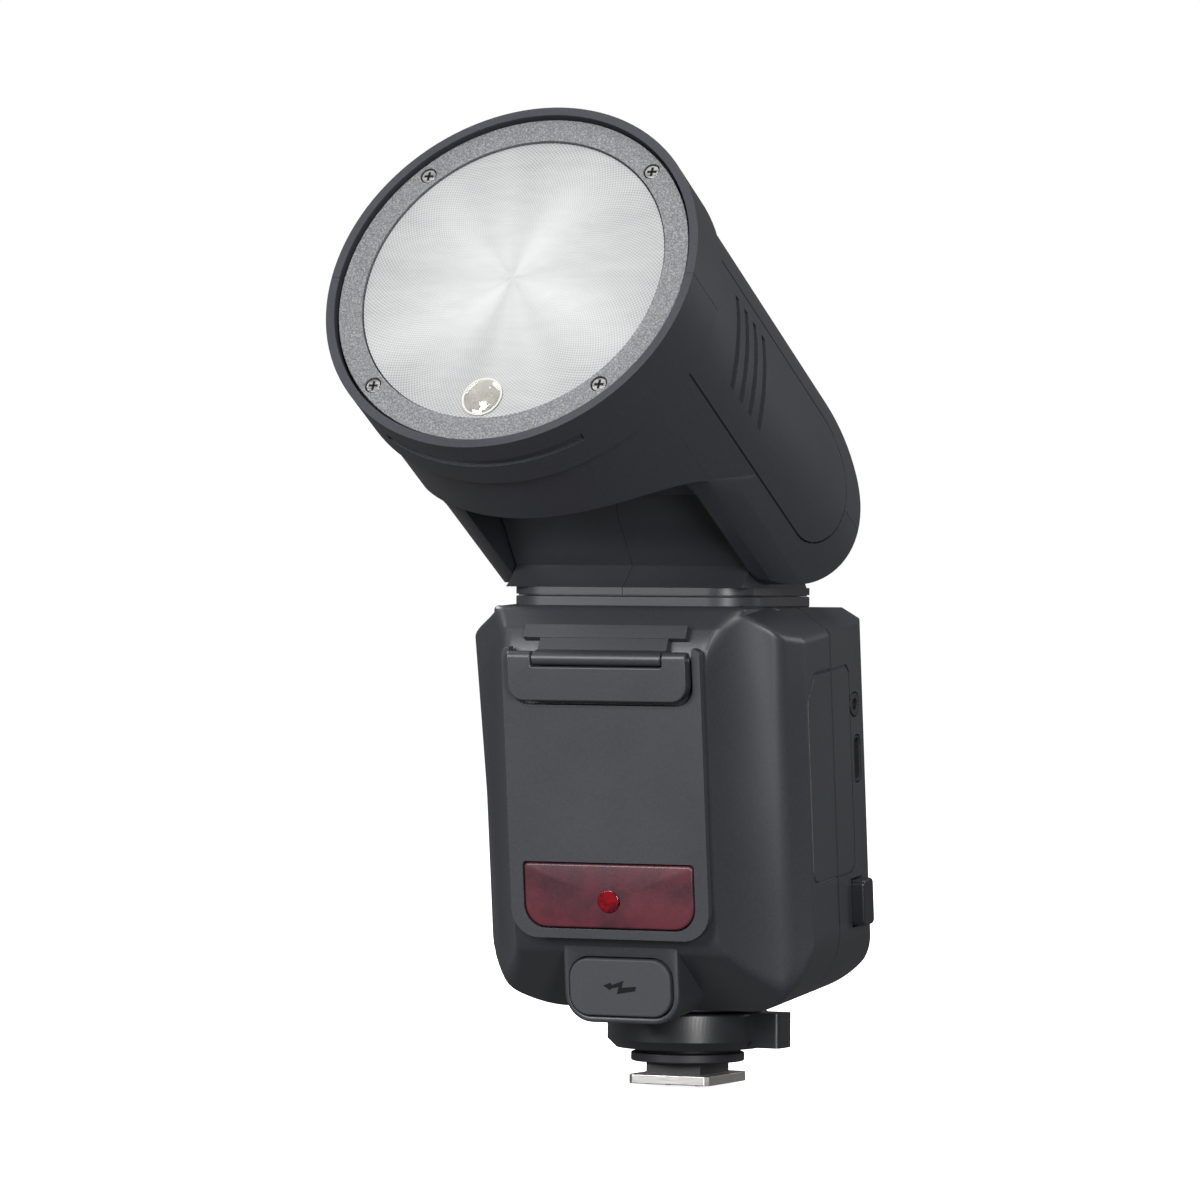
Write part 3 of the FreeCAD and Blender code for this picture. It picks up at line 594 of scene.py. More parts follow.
def grid_patch(points: Array, round_u: bool = False, caps: bool = False) -> Patch:
    """Turn a grid of points into quads, row by row.

    Args:
        points: Array of shape (rows, columns, 3).
        round_u: True if the last column joins the first.
        caps: True to close the first and last rows with one face each.

    Returns:
        The patch.
    """
    rows, cols = points.shape[:2]
    index = np.arange(rows * cols).reshape(rows, cols)
    wide = np.concatenate([index, index[:, :1]], axis=1) if round_u else index
    quads = np.stack([wide[:-1, :-1], wide[:-1, 1:], wide[1:, 1:], wide[1:, :-1]], axis=-1).reshape(-1, 4)
    faces = quads.tolist()
    if caps:
        faces.append(index[0, ::-1].tolist())
        faces.append(index[-1].tolist())
    return Patch(points.reshape(-1, 3), faces)


def turned(profile: Array, count: int, centre: tuple[float, float] = (0.0, 0.0)) -> Array:
    """Carry a closed profile of (radius, height) round an axis.

    Args:
        profile: Array of shape (rows, 2).
        count: Steps round the axis.
        centre: The axis in the plane it is square to.

    Returns:
        Array of shape (rows, count, 3) as (side, up, height) before any swap.
    """
    angle = np.arange(count) * 2 * math.pi / count
    r, h = profile[:, :1], profile[:, 1:]
    flat = np.ones_like(angle)[None]
    return np.stack([centre[0] + r * np.cos(angle), centre[1] + r * np.sin(angle), h * flat], axis=-1)


def round_box(x0: float, x1: float, z0: float, z1: float, low: float, high: float, steps: int = 8) -> Array:
    """Outline of a rectangle with round corners.

    Each corner is a quarter circle; the straight sides run between them.

    Args:
        x0: Left side.
        x1: Right side.
        z0: Bottom.
        z1: Top.
        low: Radius of the two lower corners.
        high: Radius of the two upper corners.
        steps: Arc pieces at each corner.

    Returns:
        Array of shape (4 * (steps + 1), 2), starting at the lower left corner.
    """
    turn = np.linspace(0.0, math.pi / 2, steps + 1)
    centres = ((x0 + low, z0 + low, low, math.pi), (x1 - low, z0 + low, low, 1.5 * math.pi),
               (x1 - high, z1 - high, high, 0.0), (x0 + high, z1 - high, high, 0.5 * math.pi))
    arcs = [np.stack([x + r * np.cos(a + turn), z + r * np.sin(a + turn)], axis=1) for x, z, r, a in centres]
    return np.concatenate(arcs)


def shrink(outline: Array, by: float) -> Array:
    """Draw an outline in towards its middle by a distance on each side.

    Args:
        outline: Array of shape (count, 2).
        by: Millimetres taken off each side.

    Returns:
        The smaller outline, scaled about the centre of its box.
    """
    low, high = outline.min(0), outline.max(0)
    centre, half = (low + high) / 2, (high - low) / 2
    return centre + (outline - centre) * (half - by) / half


def hole_outline(outline: Array, centre: tuple[float, float], radius: float) -> Array:
    """Circle whose points lie in the same directions as an outline's points.

    Args:
        outline: Array of shape (count, 2).
        centre: Centre of the circle.
        radius: Its radius.

    Returns:
        Array of the same shape.
    """
    away = outline - np.array(centre)
    return np.array(centre) + radius * away / np.linalg.norm(away, axis=1, keepdims=True)


def nest(loops: list[tuple[Array, float]], caps: bool = False, ring: bool = False) -> Patch:
    """Join outlines at different depths, each to the next, in a leaning body's (x, y, z).

    Args:
        loops: Outlines of (x, z) with their depth y.
        caps: True to close the first and last outlines.
        ring: True to join the last outline to the first.

    Returns:
        The patch.
    """
    rows = [np.stack([o[:, 0], np.full(len(o), y), o[:, 1]], axis=1) for o, y in loops]
    if ring:
        rows.append(rows[0])
    return grid_patch(np.stack(rows), round_u=True, caps=caps)


def rolled(
    outline: Array, depth: float, radius: float, inward: float, steps: int = 4,
) -> list[tuple[Array, float]]:
    """Roll an outline over a rounded edge.

    The outline shrinks by r * (1 - cos a) while its depth moves by r * sin a.

    Args:
        outline: Where the edge starts.
        depth: The depth it starts at.
        radius: Size of the round.
        inward: Sign of the depth's change.
        steps: Pieces across the round.

    Returns:
        Outlines with their depths.
    """
    turn = np.linspace(0.0, math.pi / 2, steps + 1)
    shares = [(1 - math.cos(a), math.sin(a)) for a in turn.tolist()]
    return [(shrink(outline, radius * c), depth + inward * radius * s) for c, s in shares]


def soft_min(a: Array, b: Array, width: Array | float) -> Array:
    """Smaller of two values, blended where they differ by less than a width.

    The blend takes away h squared * width / 4, where h falls from 1 where the values
    are equal to 0 where they differ by the width.

    Args:
        a: First values.
        b: Second values.
        width: How wide the blend is.

    Returns:
        The blended values.
    """
    wide = np.maximum(width, 1e-6)
    h = np.clip(1.0 - np.abs(a - b) / wide, 0.0, 1.0)
    return np.minimum(a, b) - h * h * wide / 4


def bent_line(z: Array, line: tuple[tuple[float, float], ...]) -> Array:
    """Value on a line of two straight pieces, which run on past their ends.

    Args:
        z: Where the value is wanted.
        line: Three (z, value) points: the start, the bend and the end.

    Returns:
        The value at each z.
    """
    (z0, v0), (z1, v1), (z2, v2) = line
    return np.where(z < z1, v0 + (z - z0) * (v1 - v0) / (z1 - z0), v1 + (z - z1) * (v2 - v1) / (z2 - z1))


def arc_through(a: Array, m: Array, b: Array, count: int) -> Array:
    """Points on the circle through three points, from the first to the last.

    Args:
        a: Start.
        m: A point on the way.
        b: End.
        count: How many points.

    Returns:
        Array of shape (count, 2).
    """
    rows = np.array([2 * (m - a), 2 * (b - a)])
    centre = np.linalg.solve(rows, np.array([m @ m - a @ a, b @ b - a @ a]))
    start, middle, end = (math.atan2(*(p - centre)[::-1]) for p in (a, m, b))
    sweep = (end - start) % (2 * math.pi)
    if (middle - start) % (2 * math.pi) > sweep:
        sweep -= 2 * math.pi
    angle = start + np.linspace(0, 1, count) * sweep
    return centre + np.linalg.norm(a - centre) * np.stack([np.cos(angle), np.sin(angle)], axis=1)


def to_path(points: Array, path: Array) -> Array:
    """Distance from points to a closed path of straight pieces.

    Args:
        points: Array of shape (count, 2).
        path: Array of shape (corners, 2).

    Returns:
        Array of shape (count,).
    """
    start, run = path[None], (np.roll(path, -1, axis=0) - path)[None]
    along = np.clip(((points[:, None] - start) * run).sum(-1) / (run * run).sum(-1), 0, 1)
    return np.linalg.norm(points[:, None] - start - along[..., None] * run, axis=-1).min(1)


class Workshop:
    """Makes pieces, rides them on bodies and reports them."""

    def __init__(self, frame: dict[str, Any], paint: Paintbox) -> None:
        """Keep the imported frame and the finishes.

        Args:
            frame: What the frame loader gave.
            paint: The finishes.
        """
        self.nodes: dict[str, bpy.types.Object] = frame["nodes"]
        self.paint = paint

    def finish_piece(
        self, obj: bpy.types.Object, finish: Finish, body: str, nodes: tuple[str, ...],
    ) -> bpy.types.Object:
        """Dress a piece, ride it on its body and say what it stands for.

        Args:
            obj: The piece.
            finish: Its finish.
            body: The body it moves with.
            nodes: The nodes it stands for.

        Returns:
            The same piece.
        """
        self.paint.dress(obj, finish)
        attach(obj, body)
        if nodes:
            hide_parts(*nodes)
        LOG.info("%s: %d faces on %s", obj.name, len(obj.data.polygons), body)
        return obj

    def make(
        self, name: str, patch: Patch, place: Place, finish: Finish, body: str,
        nodes: tuple[str, ...] = (), crease: float = 35.0, wall: float = 0.0,
    ) -> bpy.types.Object:
        """Make a piece from a patch.

        Args:
            name: The piece's name.
            patch: Its points and faces in local millimetres.
            place: The local frame.
            finish: Its finish.
            body: The body it moves with.
            nodes: The nodes it stands for.
            crease: Edges sharper than this many degrees stay sharp.
            wall: Thickness given to an open surface, inwards.

        Returns:
            The piece.
        """
        mesh = bpy.data.meshes.new(name)
        mesh.from_pydata(FRAMES.to_world(patch.points, place).tolist(), [], patch.faces)
        if patch.uv is not None:
            layer = mesh.uv_layers.new(name="ring_map")
            corner = np.empty(len(mesh.loops), dtype=np.int32)
            mesh.loops.foreach_get("vertex_index", corner)
            layer.data.foreach_set("uv", patch.uv[corner].astype(np.float32).ravel())
        bm = bmesh.new()
        bm.from_mesh(mesh)
        bmesh.ops.remove_doubles(bm, verts=bm.verts, dist=1e-6)
        bmesh.ops.recalc_face_normals(bm, faces=bm.faces)
        bm.to_mesh(mesh)
        bm.free()
        middle, normal = (np.empty(3 * len(mesh.polygons)) for _ in range(2))
        mesh.polygons.foreach_get("center", middle)
        mesh.polygons.foreach_get("normal", normal)
        middle, normal = middle.reshape(-1, 3), normal.reshape(-1, 3)
        if wall > 0 and ((middle - middle.mean(0)) * normal).sum() < 0:
            mesh.flip_normals()
        mesh.shade_smooth()
        mesh.set_sharp_from_angle(angle=math.radians(crease))
        obj = bpy.data.objects.new(name, mesh)
        bpy.context.scene.collection.objects.link(obj)
        if wall > 0:
            solid = obj.modifiers.new("wall", "SOLIDIFY")
            solid.thickness = wall * MM
            solid.offset = -1.0
        return self.finish_piece(obj, finish, body, nodes)

    def soften(
        self, node: str, finish: Finish, body: str, radius: float,
        sharp: float = 30.0, segments: int = 2, merge: float = 0.6,
    ) -> bpy.types.Object:
        """Copy a node's shape and round its edges as a mould does.

        The copy's loose triangles are joined, flat areas are merged into single faces,
        and every edge sharper than the limit gets a small round.

        Args:
            node: The node to stand for.
            finish: Its finish.
            body: The body it moves with.
            radius: Size of the round in millimetres.
            sharp: Edges sharper than this many degrees are rounded.
            segments: Faces across each round.
            merge: Faces within this many degrees are merged.

        Returns:
            The piece.
        """
        mesh = self.nodes[node].data.copy()
        mesh.name = node + "_moulding"
        bm = bmesh.new()
        bm.from_mesh(mesh)
        bmesh.ops.remove_doubles(bm, verts=bm.verts, dist=4e-6)
        bmesh.ops.dissolve_limit(
            bm, angle_limit=math.radians(merge), use_dissolve_boundaries=False, verts=bm.verts, edges=bm.edges
        )
        bm.to_mesh(mesh)
        bm.free()
        if mesh.has_custom_normals:
            mesh.attributes.remove(mesh.attributes["custom_normal"])
        mesh.shade_smooth()
        mesh.set_sharp_from_angle(angle=math.radians(sharp))
        obj = bpy.data.objects.new(node + "_moulding", mesh)
        bpy.context.scene.collection.objects.link(obj)
        if radius > 0:
            bevel = obj.modifiers.new("mould_round", "BEVEL")
            bevel.width = radius * MM
            bevel.segments = segments
            bevel.limit_method = "ANGLE"
            bevel.angle_limit = math.radians(sharp)
            bevel.use_clamp_overlap = True
            bevel.harden_normals = True
            bevel.miter_outer = "MITER_ARC"
        return self.finish_piece(obj, finish, body, (node,))

    def keep(self, node: str, finish: Finish) -> None:
        """Leave a node's shape as it is and give it a finish.

        Args:
            node: The node to keep.
            finish: Its finish.
        """
        self.paint.dress(self.nodes[node], finish)
        LOG.info("%s: node kept as it is", node)


# ---------------------------------------------------------------- head
@dataclass
class Head:
    """The round head: shells, side panels, bezel, screws, lens and lamp."""

    reach: float = 78.65
    lens_radius: float = 32.4
    screw_radius: float = 35.1
    screw_angles: tuple[float, ...] = (45.0, 135.0, 225.0, 315.0)
    screw_head: float = 1.46
    well_radius: float = 1.74
    cross_arm: tuple[float, float] = (1.02, 0.27)
    lamp_drop: float = 27.6
    lamp_radius: float = 4.1

    def build(self, shop: Workshop) -> None:
        """Make the head's pieces.

        Args:
            shop: Where the pieces are made.
        """
        for node in ("head_upper_shell", "head_lower_shell"):
            shop.soften(node, Finish.HEAD, "head", 0.35)
        for node in ("side_panel_left", "side_panel_right"):
            shop.soften(node, Finish.HEAD, "head", 0.25)
        shop.soften("bezel_ring", Finish.BEZEL, "head", 0.18)
        shop.soften("bezel_screws", Finish.NICKEL, "head", 0.06)
        self.recesses(shop)
        self.lens(shop)
        self.lamp(shop)
        for node in ("zoom_front_plate", "zoom_rear_plate", "zoom_carriage"):
            shop.keep(node, Finish.WHITE)
        for node, finish in (
            ("guide_rods", Finish.NICKEL), ("zoom_motor", Finish.STEEL), ("lead_screw", Finish.STEEL),
            ("reflector", Finish.MIRROR), ("flash_tube", Finish.TUBE),
        ):
            shop.keep(node, finish)

    def recesses(self, shop: Workshop) -> None:
        """Make painted shadows: dark pieces in the screws' cross recesses and in the wells round the heads.

        Each cross is two strips; each well is a ring between the head and the bezel. The
        screws stand on a circle: x = R sin a and n = R cos a.

        Args:
            shop: Where the pieces are made.
        """
        long, wide = self.cross_arm
        arm = np.array([(-long, -wide), (long, -wide), (long, wide), (-long, wide)])
        turn = np.linspace(0, 2 * math.pi, 33)[:-1]
        circle = np.stack([np.cos(turn), np.sin(turn)], axis=1)
        face, sunk = self.reach - 1.36, self.reach - 2.3
        patches = []
        for angle in np.radians(self.screw_angles).tolist():
            middle = self.screw_radius * np.array([math.sin(angle), math.cos(angle)])
            # Painted shadow of each cross recess: two dark strips.
            for strip in (arm + middle, arm[::-1, ::-1] + middle):
                patches.append(nest([(strip, self.reach - 1.9), (strip, self.reach - 1.28)], caps=True))
            # Painted shadow of the well: a dark ring between the screw head and the bezel.
            outer, inner = circle * self.well_radius + middle, circle * self.screw_head + middle
            patches.append(nest([(outer, sunk), (outer, face), (inner, face), (inner, sunk)], ring=True))
        whole = sum(patches[1:], patches[0])
        shop.make(
            "screw_painted_shadows", whole, Place.HEAD, Finish.INK_AND_SHADOW, "head", crease=30.0
        )

    def lens(self, shop: Workshop) -> None:
        """Make the diffuser.

        A profile of radius and depth is turned about the lens axis. The face is a shallow
        dome, depth = front + 0.25 * (1 - (r / R) squared), with a rounded edge.

        Args:
            shop: Where the pieces are made.
        """
        big, front, back = self.lens_radius, self.reach - 1.45, self.reach - 3.2
        r = np.linspace(0.05, big - 0.35, 40)
        face = np.stack([r, front + 0.25 * (1 - (r / big) ** 2)], axis=1)
        edge = np.array([(big - 0.1, front - 0.05), (big, front - 0.3), (big, back + 0.2), (big - 0.2, back)])
        rear = np.stack([np.linspace(big - 1.0, 0.05, 12), np.full(12, back)], axis=1)
        profile = np.concatenate([face, edge, rear])
        grid = turned(profile, 192)
        points = np.stack([grid[..., 0], grid[..., 2], grid[..., 1]], axis=-1)
        points = np.concatenate([points, points[:, :1]], axis=1)
        patch = grid_patch(points, caps=True)
        rows, cols = points.shape[:2]
        u = np.broadcast_to(np.linspace(0, 1, cols)[None], (rows, cols))
        v = np.broadcast_to(profile[:, :1] / big, (rows, cols))
        patch.uv = np.stack([u, v], axis=-1).reshape(-1, 2)
        shop.make("lens_diffuser", patch, Place.HEAD, Finish.LENS, "head", ("front_lens",))

    def lamp(self, shop: Workshop) -> None:
        """Make the clear window over the modelling lamp: a cup, its chip and a stepped dome.

        Each is a profile of radius and height turned about the lamp's axis. The dome's
        rings come from adding 0.03 * cos(5 pi r / R) to its fall of height with r squared.

        Args:
            shop: Where the pieces are made.
        """
        shop.keep("modelling_lamp", Finish.LAMP)
        floor, big = self.reach - 1.25, self.lamp_radius
        r = np.linspace(big, 0.05, 30)
        rise = 0.95 * (1 - (r / big) ** 2) + 0.03 * np.cos(5 * math.pi * r / big) * (r / big)
        dome = np.concatenate([[(big + 0.25, floor - 0.05)], np.stack([r, floor + 0.05 + rise], axis=1)])
        cup = np.array([
            (big + 0.25, floor + 0.12), (big, floor + 0.2), (big - 0.25, floor + 0.1), (1.4, floor - 0.06),
            (0.05, floor - 0.06),
        ])
        chip = np.array([(1.1, floor - 0.06), (1.05, floor + 0.1), (0.05, floor + 0.12)])
        pieces = (
            ("lamp_cup", cup, Finish.CUP), ("lamp_chip", chip, Finish.CHIP),
            ("lamp_dome", dome, Finish.LAMP),
        )
        for name, profile, finish in pieces:
            grid = turned(profile, 64, (0.0, -self.lamp_drop))
            points = np.stack([grid[..., 0], grid[..., 2], grid[..., 1]], axis=-1)
            shop.make(
                name, grid_patch(points, round_u=True, caps=True), Place.HEAD, finish, "head",
                crease=60.0,
            )


# ---------------------------------------------------------------- turret
@dataclass
class Turret:
    """The pan turret between the head's arms."""

    edge: float = 0.5
    base: float = 103.1

    def build(self, shop: Workshop) -> None:
        """Make the turret's pieces.

        Args:
            shop: Where the pieces are made.
        """
        for node in ("turret_left", "turret_right"):
            shop.soften(node, Finish.TURRET, "turret", self.edge)
        # A thin land under the turret base in black nylon: partly a real part that closes the gap there, and
        # partly painted shade, its black standing in for the shade in that gap.
        outline = round_box(-27.05, 27.05, -34.5, 6.5, 8.9, 8.9)
        land = nest([(outline, self.base - 0.24), (outline, self.base + 0.1)], caps=True)
        land.points = land.points[:, [0, 2, 1]]
        shop.make("turret_land", land, Place.WORLD, Finish.NYLON, "turret", crease=30.0)
        shop.keep("pan_retainer", Finish.NYLON)
        shop.keep("tilt_shaft", Finish.NICKEL)


# ---------------------------------------------------------------- front shell
@dataclass
class FrontShell:
    """Front half of the body: flat front, coved corners, creases, round lower corners and shoulders.

    Every point is a section point (x, y) at a height z. The section is drawn in by the
    front view's limit on x, the side view's limit on y and the level top's limit on z,
    each with a soft minimum, so that the edges between them come out rounded.
    """

    half: float = 37.0
    front: float = -35.6
    flat: float = 23.0
    seam: float = -3.6
    low: float = 18.0
    corner: float = 16.5
    shoulder: float = 96.5
    shoulder_in: float = 8.5
    shoulder_rise: float = 6.1
    shoulder_blend: float = 1.6
    edge_blend: float = 2.4
    lean: float = math.radians(6.0)
    level: float = 83.6  # the level top's height over z = 17 where y is 0
    roll: float = 0.8
    groove_depth: float = 0.35
    wall: float = 2.0
    belly: tuple[tuple[float, float], ...] = ((18.0, -15.6), (32.5, -32.6), (37.0, -35.6))
    brow: tuple[tuple[float, float], ...] = ((95.0, -35.6), (100.0, -32.6), (104.0, -28.5))
    panel: tuple[tuple[float, float], ...] = (
        (-16.5, 48.0), (-16.27, 46.85), (-15.62, 45.88), (-14.65, 45.23), (-13.5, 45.0), (2.8, 45.0),
        (5.8, 48.0), (5.8, 87.0), (4.3, 88.5), (-12.5, 88.5), (-16.5, 84.0),
    )
    battery_mouth: tuple[float, float, float] = (-16.8, 44.7, 88.8)  # front edge, bottom and top
    latch_slot: tuple[float, float, float, float] = (-13.8, -6.2, 36.2, 43.3)

    def top(self, y: Array | float) -> Array | float:
        """Height of the level top at a depth y of the leaning frame."""
        return 17.0 + (self.level - y * math.sin(self.lean)) / math.cos(self.lean)

    def heights(self) -> Array:
        """Heights of the rows: close together round the corners, the side line and the shoulders.

        Returns:
            The heights in rising order.
        """
        round_rows = self.low + self.corner * (1 - np.cos(np.linspace(0, math.pi / 2, 40)))
        parts = [
            round_rows, [36.2, 43.3, 44.0], np.arange(44.5, 48.6, 0.16), [44.7], np.linspace(48.9, 83.2, 30),
            np.arange(83.4, 89.0, 0.16), [88.8], np.linspace(89.3, 94.0, 8), np.linspace(94.3, 104.9, 46),
        ]
        return np.unique(np.round(np.concatenate(parts), 3))

    def half_section(self, height: float) -> Array:
        """Right half of the section at one height, from the front's middle to the seam.

        A straight front, a circular cove, a rounded crease, a short flank and the side.

        Args:
            height: The height of the section.

        Returns:
            Array of shape (count, 2) of (x, y).
        """
        crease = np.array([self.half - 4.66 + 0.0256 * height, self.front + 15.2 - 0.0442 * height])
        start = np.array([self.flat, self.front])
        way = np.array([self.flat + 4.4, self.front + 0.6 * (crease[1] - self.front)])
        turn = np.array([self.half, -17.0])
        cove = arc_through(start, way, crease, 41)[:36]
        t = np.linspace(0, 1, 8)[1:, None]
        leave, arrive = cove[-1], crease + (turn - crease) * 0.24
        bend = (1 - t) ** 2 * leave + 2 * t * (1 - t) * crease + t**2 * arrive
        late, side = crease + (turn - crease) * 0.9, np.array([self.half, -16.8])
        flank = arrive + (late - arrive) * np.linspace(0, 1, 5)[1:, None]
        corner = (1 - t) ** 2 * late + 2 * t * (1 - t) * turn + t**2 * side
        steps = [np.arange(-16.64, -12.1, 0.16), self.latch_slot[:2], np.linspace(-11.8, self.seam, 14)]
        wall = np.unique(np.round(np.concatenate(steps), 3))
        flat = np.stack([np.linspace(0, self.flat, 16)[:-1], np.full(15, self.front)], axis=1)
        sides = np.stack([np.full(len(wall), self.half), wall], axis=1)
        return np.concatenate([flat, cove, bend, flank, corner, sides])

    def drawn_in(self, z: Array) -> tuple[Array, Array]:
        """The right half's x and y at each height of a (rows, columns) grid.

        The half section is drawn in by the front view's limit on x and the side view's on y.

        Args:
            z: Heights, one column for each point of the half section.

        Returns:
            x and y, each of shape (rows, columns).
        """
        share = z / 130.0
        low, high = self.half_section(0.0), self.half_section(130.0)
        x, y = (low[None, :, i] * (1 - share) + high[None, :, i] * share for i in (0, 1))
        lift = np.clip(self.corner - (z - self.low), 0, self.corner)
        side = self.half - self.corner + np.sqrt(self.corner**2 - lift**2)
        lower = np.where(z < self.low + self.corner, side, self.half + (z - self.low - self.corner))
        upper = self.half + (self.shoulder - z) * self.shoulder_in / self.shoulder_rise
        steep = np.clip((x - self.flat) / 3.0, 0, 1) * np.clip((36.6 - x) / 3.0, 0.0, 1.0)
        x = soft_min(x, lower, 3.0 * steep + 0.02)
        x = soft_min(x, np.maximum(upper, self.half - self.shoulder_in), self.shoulder_blend)
        y = -soft_min(-y, -bent_line(z, self.belly), self.edge_blend)
        return x, -soft_min(-y, -bent_line(z, self.brow), self.edge_blend)

    def surface(self) -> Array:
        """The shell's outside as a grid of rows (height) and columns (left seam to right seam).

        The rows over 94.3 are spread between there and the level top, whose height in
        the leaning frame is 17 + (83.6 - y sin 6) / cos 6. The last of them roll over the
        top's edge: at depth d under it the section moves in by r - sqrt(r^2 - (r - d)^2).

        Returns:
            Array of shape (rows, columns, 3).
        """
        z = np.repeat(self.heights()[:, None], len(self.half_section(0.0)), axis=1)
        end = np.full((1, z.shape[1]), 104.0)
        start = 94.3
        for _ in range(12):
            end = self.top(self.drawn_in(end)[1])
        share = np.clip((z - start) / (z[-1, 0] - start), 0, 1)
        z = np.where(z > start, start + (end - start) * np.sin(share * math.pi / 2), z)
        x, y = self.drawn_in(z)
        along = np.stack([np.gradient(x[-1]), np.gradient(y[-1])])
        along /= np.linalg.norm(along, axis=0)
        depth = np.clip(end - z, 0, self.roll)
        move = self.roll - np.sqrt(self.roll**2 - (self.roll - depth) ** 2)
        right = np.stack([x - move * along[1], np.minimum(y + move * along[0], self.seam), z], axis=-1)
        right[:, 0, 0] = 0.0
        left = right[:, :0:-1] * np.array([-1.0, 1.0, 1.0])
        return np.concatenate([left, self.lined(right)], axis=1)

    def lined(self, right: Array) -> Array:
        """Press the blank panel's outline into the right-hand side.

        The depth is full within the line and fades to nothing over its rounded lips.

        Args:
            right: The right half of the surface.

        Returns:
            The same grid with the line pressed in.
        """
        flat = right.reshape(-1, 3)
        near = (flat[:, 0] > self.half - 0.5) & (flat[:, 1] > -16.9)
        away = to_path(flat[near][:, 1:], np.array(self.panel))
        fade = 1 - np.clip((away - 0.12) / 0.2, 0, 1)
        out = flat.copy()
        out[near, 0] -= self.groove_depth * fade * fade * (3 - 2 * fade)
        return out.reshape(right.shape)

    def build(self, shop: Workshop) -> None:
        """Make the shell with its openings, then the port surround.

        Args:
            shop: Where the pieces are made.
        """
        grid = self.surface()
        cols = grid.shape[1]
        seam = np.stack([grid[0, :, 0], np.full(cols, self.seam), grid[0, :, 2]], axis=-1)
        under = grid[0] + (seam - grid[0]) * np.linspace(1, 0, 8)[:-1, None, None]
        back = np.stack(
            [grid[-1, :, 0], np.full(cols, self.seam), np.full(cols, self.top(self.seam))], axis=-1,
        )
        over = grid[-1] + (back - grid[-1]) * np.linspace(0, 1, 8)[1:, None, None]
        whole = np.concatenate([under, grid, over])
        patch = grid_patch(whole)
        quads = np.array(patch.faces)
        middle = patch.points[quads].mean(1)
        left = middle[:, 0] < -self.half + 2.5
        y, z = middle[:, 1], middle[:, 2]
        front, bottom, top = self.battery_mouth
        mouth = left & (y > front) & (z > bottom) & (z < top)
        near, far, low, high = self.latch_slot
        latch = left & (y > near) & (y < far) & (z > low) & (z < high)
        corners = patch.points[quads]
        spread = np.linalg.norm(
            np.cross(corners[:, 2] - corners[:, 0], corners[:, 3] - corners[:, 1]), axis=1,
        )
        patch.faces = quads[~(mouth | latch) & (spread > 1e-7)].tolist()
        shop.make(
            "front_shell", patch, Place.BODY, Finish.SHELL, "flash_body", ("front_cover",),
            crease=40.0, wall=self.wall,
        )
        outer = round_box(-13.0, 13.0, 17.7, 35.5, 6.0, 0.8)
        recess = round_box(-11.8, 11.8, 19.0, 31.6, 4.6, 4.6)
        hole = round_box(-7.3, 7.3, 21.2, 29.3, 1.0, 1.0)
        loops = [(outer, -20.0), (outer, -32.0)] + rolled(outer, -32.8, 0.6, -1.0)
        loops += [
            (shrink(recess, -0.2), -33.4), (recess, -33.2), (recess, -31.3), (shrink(recess, 0.2), -31.1),
        ]
        loops += [(hole, -31.1), (hole, -22.0)]
        shop.make("port_surround", nest(loops), Place.BODY, Finish.SHELL, "flash_body", crease=50.0)


